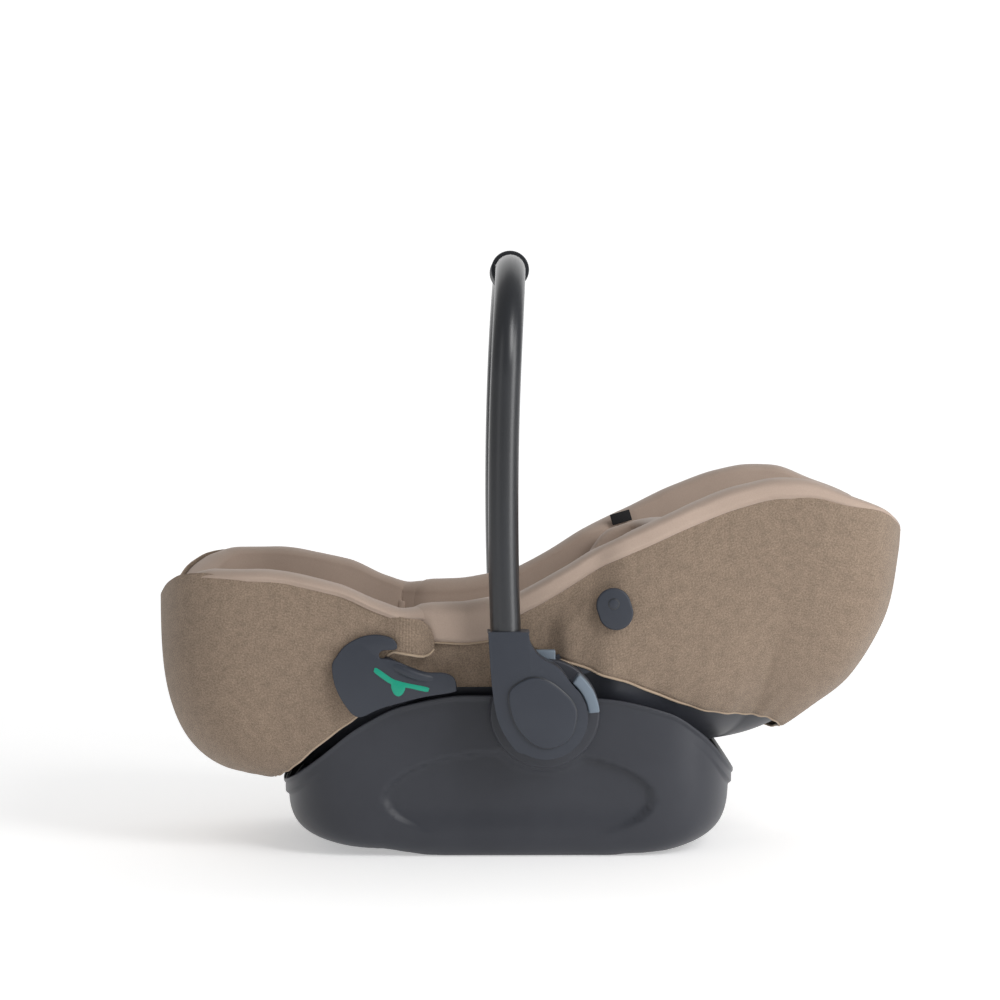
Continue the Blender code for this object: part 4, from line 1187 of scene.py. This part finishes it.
def makeTrim():
    tilt = math.radians(18)
    for label, side in sides:
        outline = []
        for k in range(48):
            turn = 2 * math.pi * k / 48
            x = 0.0165 * math.cos(turn)
            z = 0.0165 * math.sin(turn) + (0.00375 if math.sin(turn) >= 0 else -0.00375)
            lift = 0.241 + x * math.sin(tilt) + z * math.cos(tilt)
            outline.append((0.079 + x * math.cos(tilt) - z * math.sin(tilt), lift))
        obj = plate(outline, 0.1764, 0.1818, side, 0.0018, 4)
        mount(obj, f"hoodMount_{label}", hubPlastic, "backrest", f"hood_mount_{label}")
        turns = np.linspace(0, 2 * math.pi, 33)[:-1]
        # the first row is painted shade: a disc of the darkest plastic, a little wider than the pin, shows
        # as a dark ring that stands for the shadow in the gap round the pin
        for name, radius, out, finish, slot, nodes in (
            ("hoodPinShadowRing", 0.0056, 0.182, handleSatin, "base_plastic", ()),
            ("hoodPin", 0.0046, 0.1824, hubPlastic, "steel", [f"hood_pin_{label}"]),
        ):
            spots = [(0.078 + radius * math.cos(t), 0.246 + radius * math.sin(t)) for t in turns]
            pin = plate(spots, 0.179, out, side, 0.0004, 2)
            finished(pin, f"{name}_{label}", finish, "backrest", nodes, 50)
    place = boxOf("cover_tag")[0] + Vector((0, -0.005, 0.0005))
    tag = block(place, (0.021, 0.0014, 0.0115), 16, 0.0005, 2)
    mount(tag, "coverTag", tagCloth, "backrest", "cover_tag")
    place = boxOf("recline_lever")[0] + Vector((0.0005, 0, 0))
    lever = block(place, (0.025, 0.08, 0.0048), 66, 0.0018, 4)
    mount(lever, "reclineLever", hubPlastic, "lever", "recline_lever")


makeTrim()

# ---- CAD parts that keep their shape

kept = {
    basePlastic: ["base_cross_bar_front", "base_cross_bar_rear", "buckle_housing", "harness_adjuster"],
    steel: [f"{part}_{label}" for part in ("pivot_axle", "lock_ring", "button_spring", "recline_pin")
            for label, side in sides],
    # painted shade: the recline brackets take the dark hub plastic so that, where they poke out under the
    # cover, they read as dark as the shade there
    hubPlastic: ["recline_bracket_left", "recline_bracket_right"],
    webbing: ["crotch_strap", "headrest_pull"],
}
for finish, names in kept.items():
    for name in names:
        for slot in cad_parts[name].material_slots:
            slot.link = "OBJECT"
            slot.material = finish
print("trim and kept parts are finished")

bpy.ops.mesh.primitive_plane_add(size=16, location=(0, 0, -0.0002))
floor = settled(bpy.context.object)
floor.name = "floor"
floor.data.materials.append(floorWhite("floorWhite", studio["floor"], studio["glow"]))
bpy.ops.mesh.primitive_plane_add(size=9, location=(0, 4.2, 4.4), rotation=(math.radians(90), 0, 0))
wall = settled(bpy.context.object)
wall.name = "wall"
wall.data.materials.append(floorWhite("wallWhite", 0.02, 1.05))
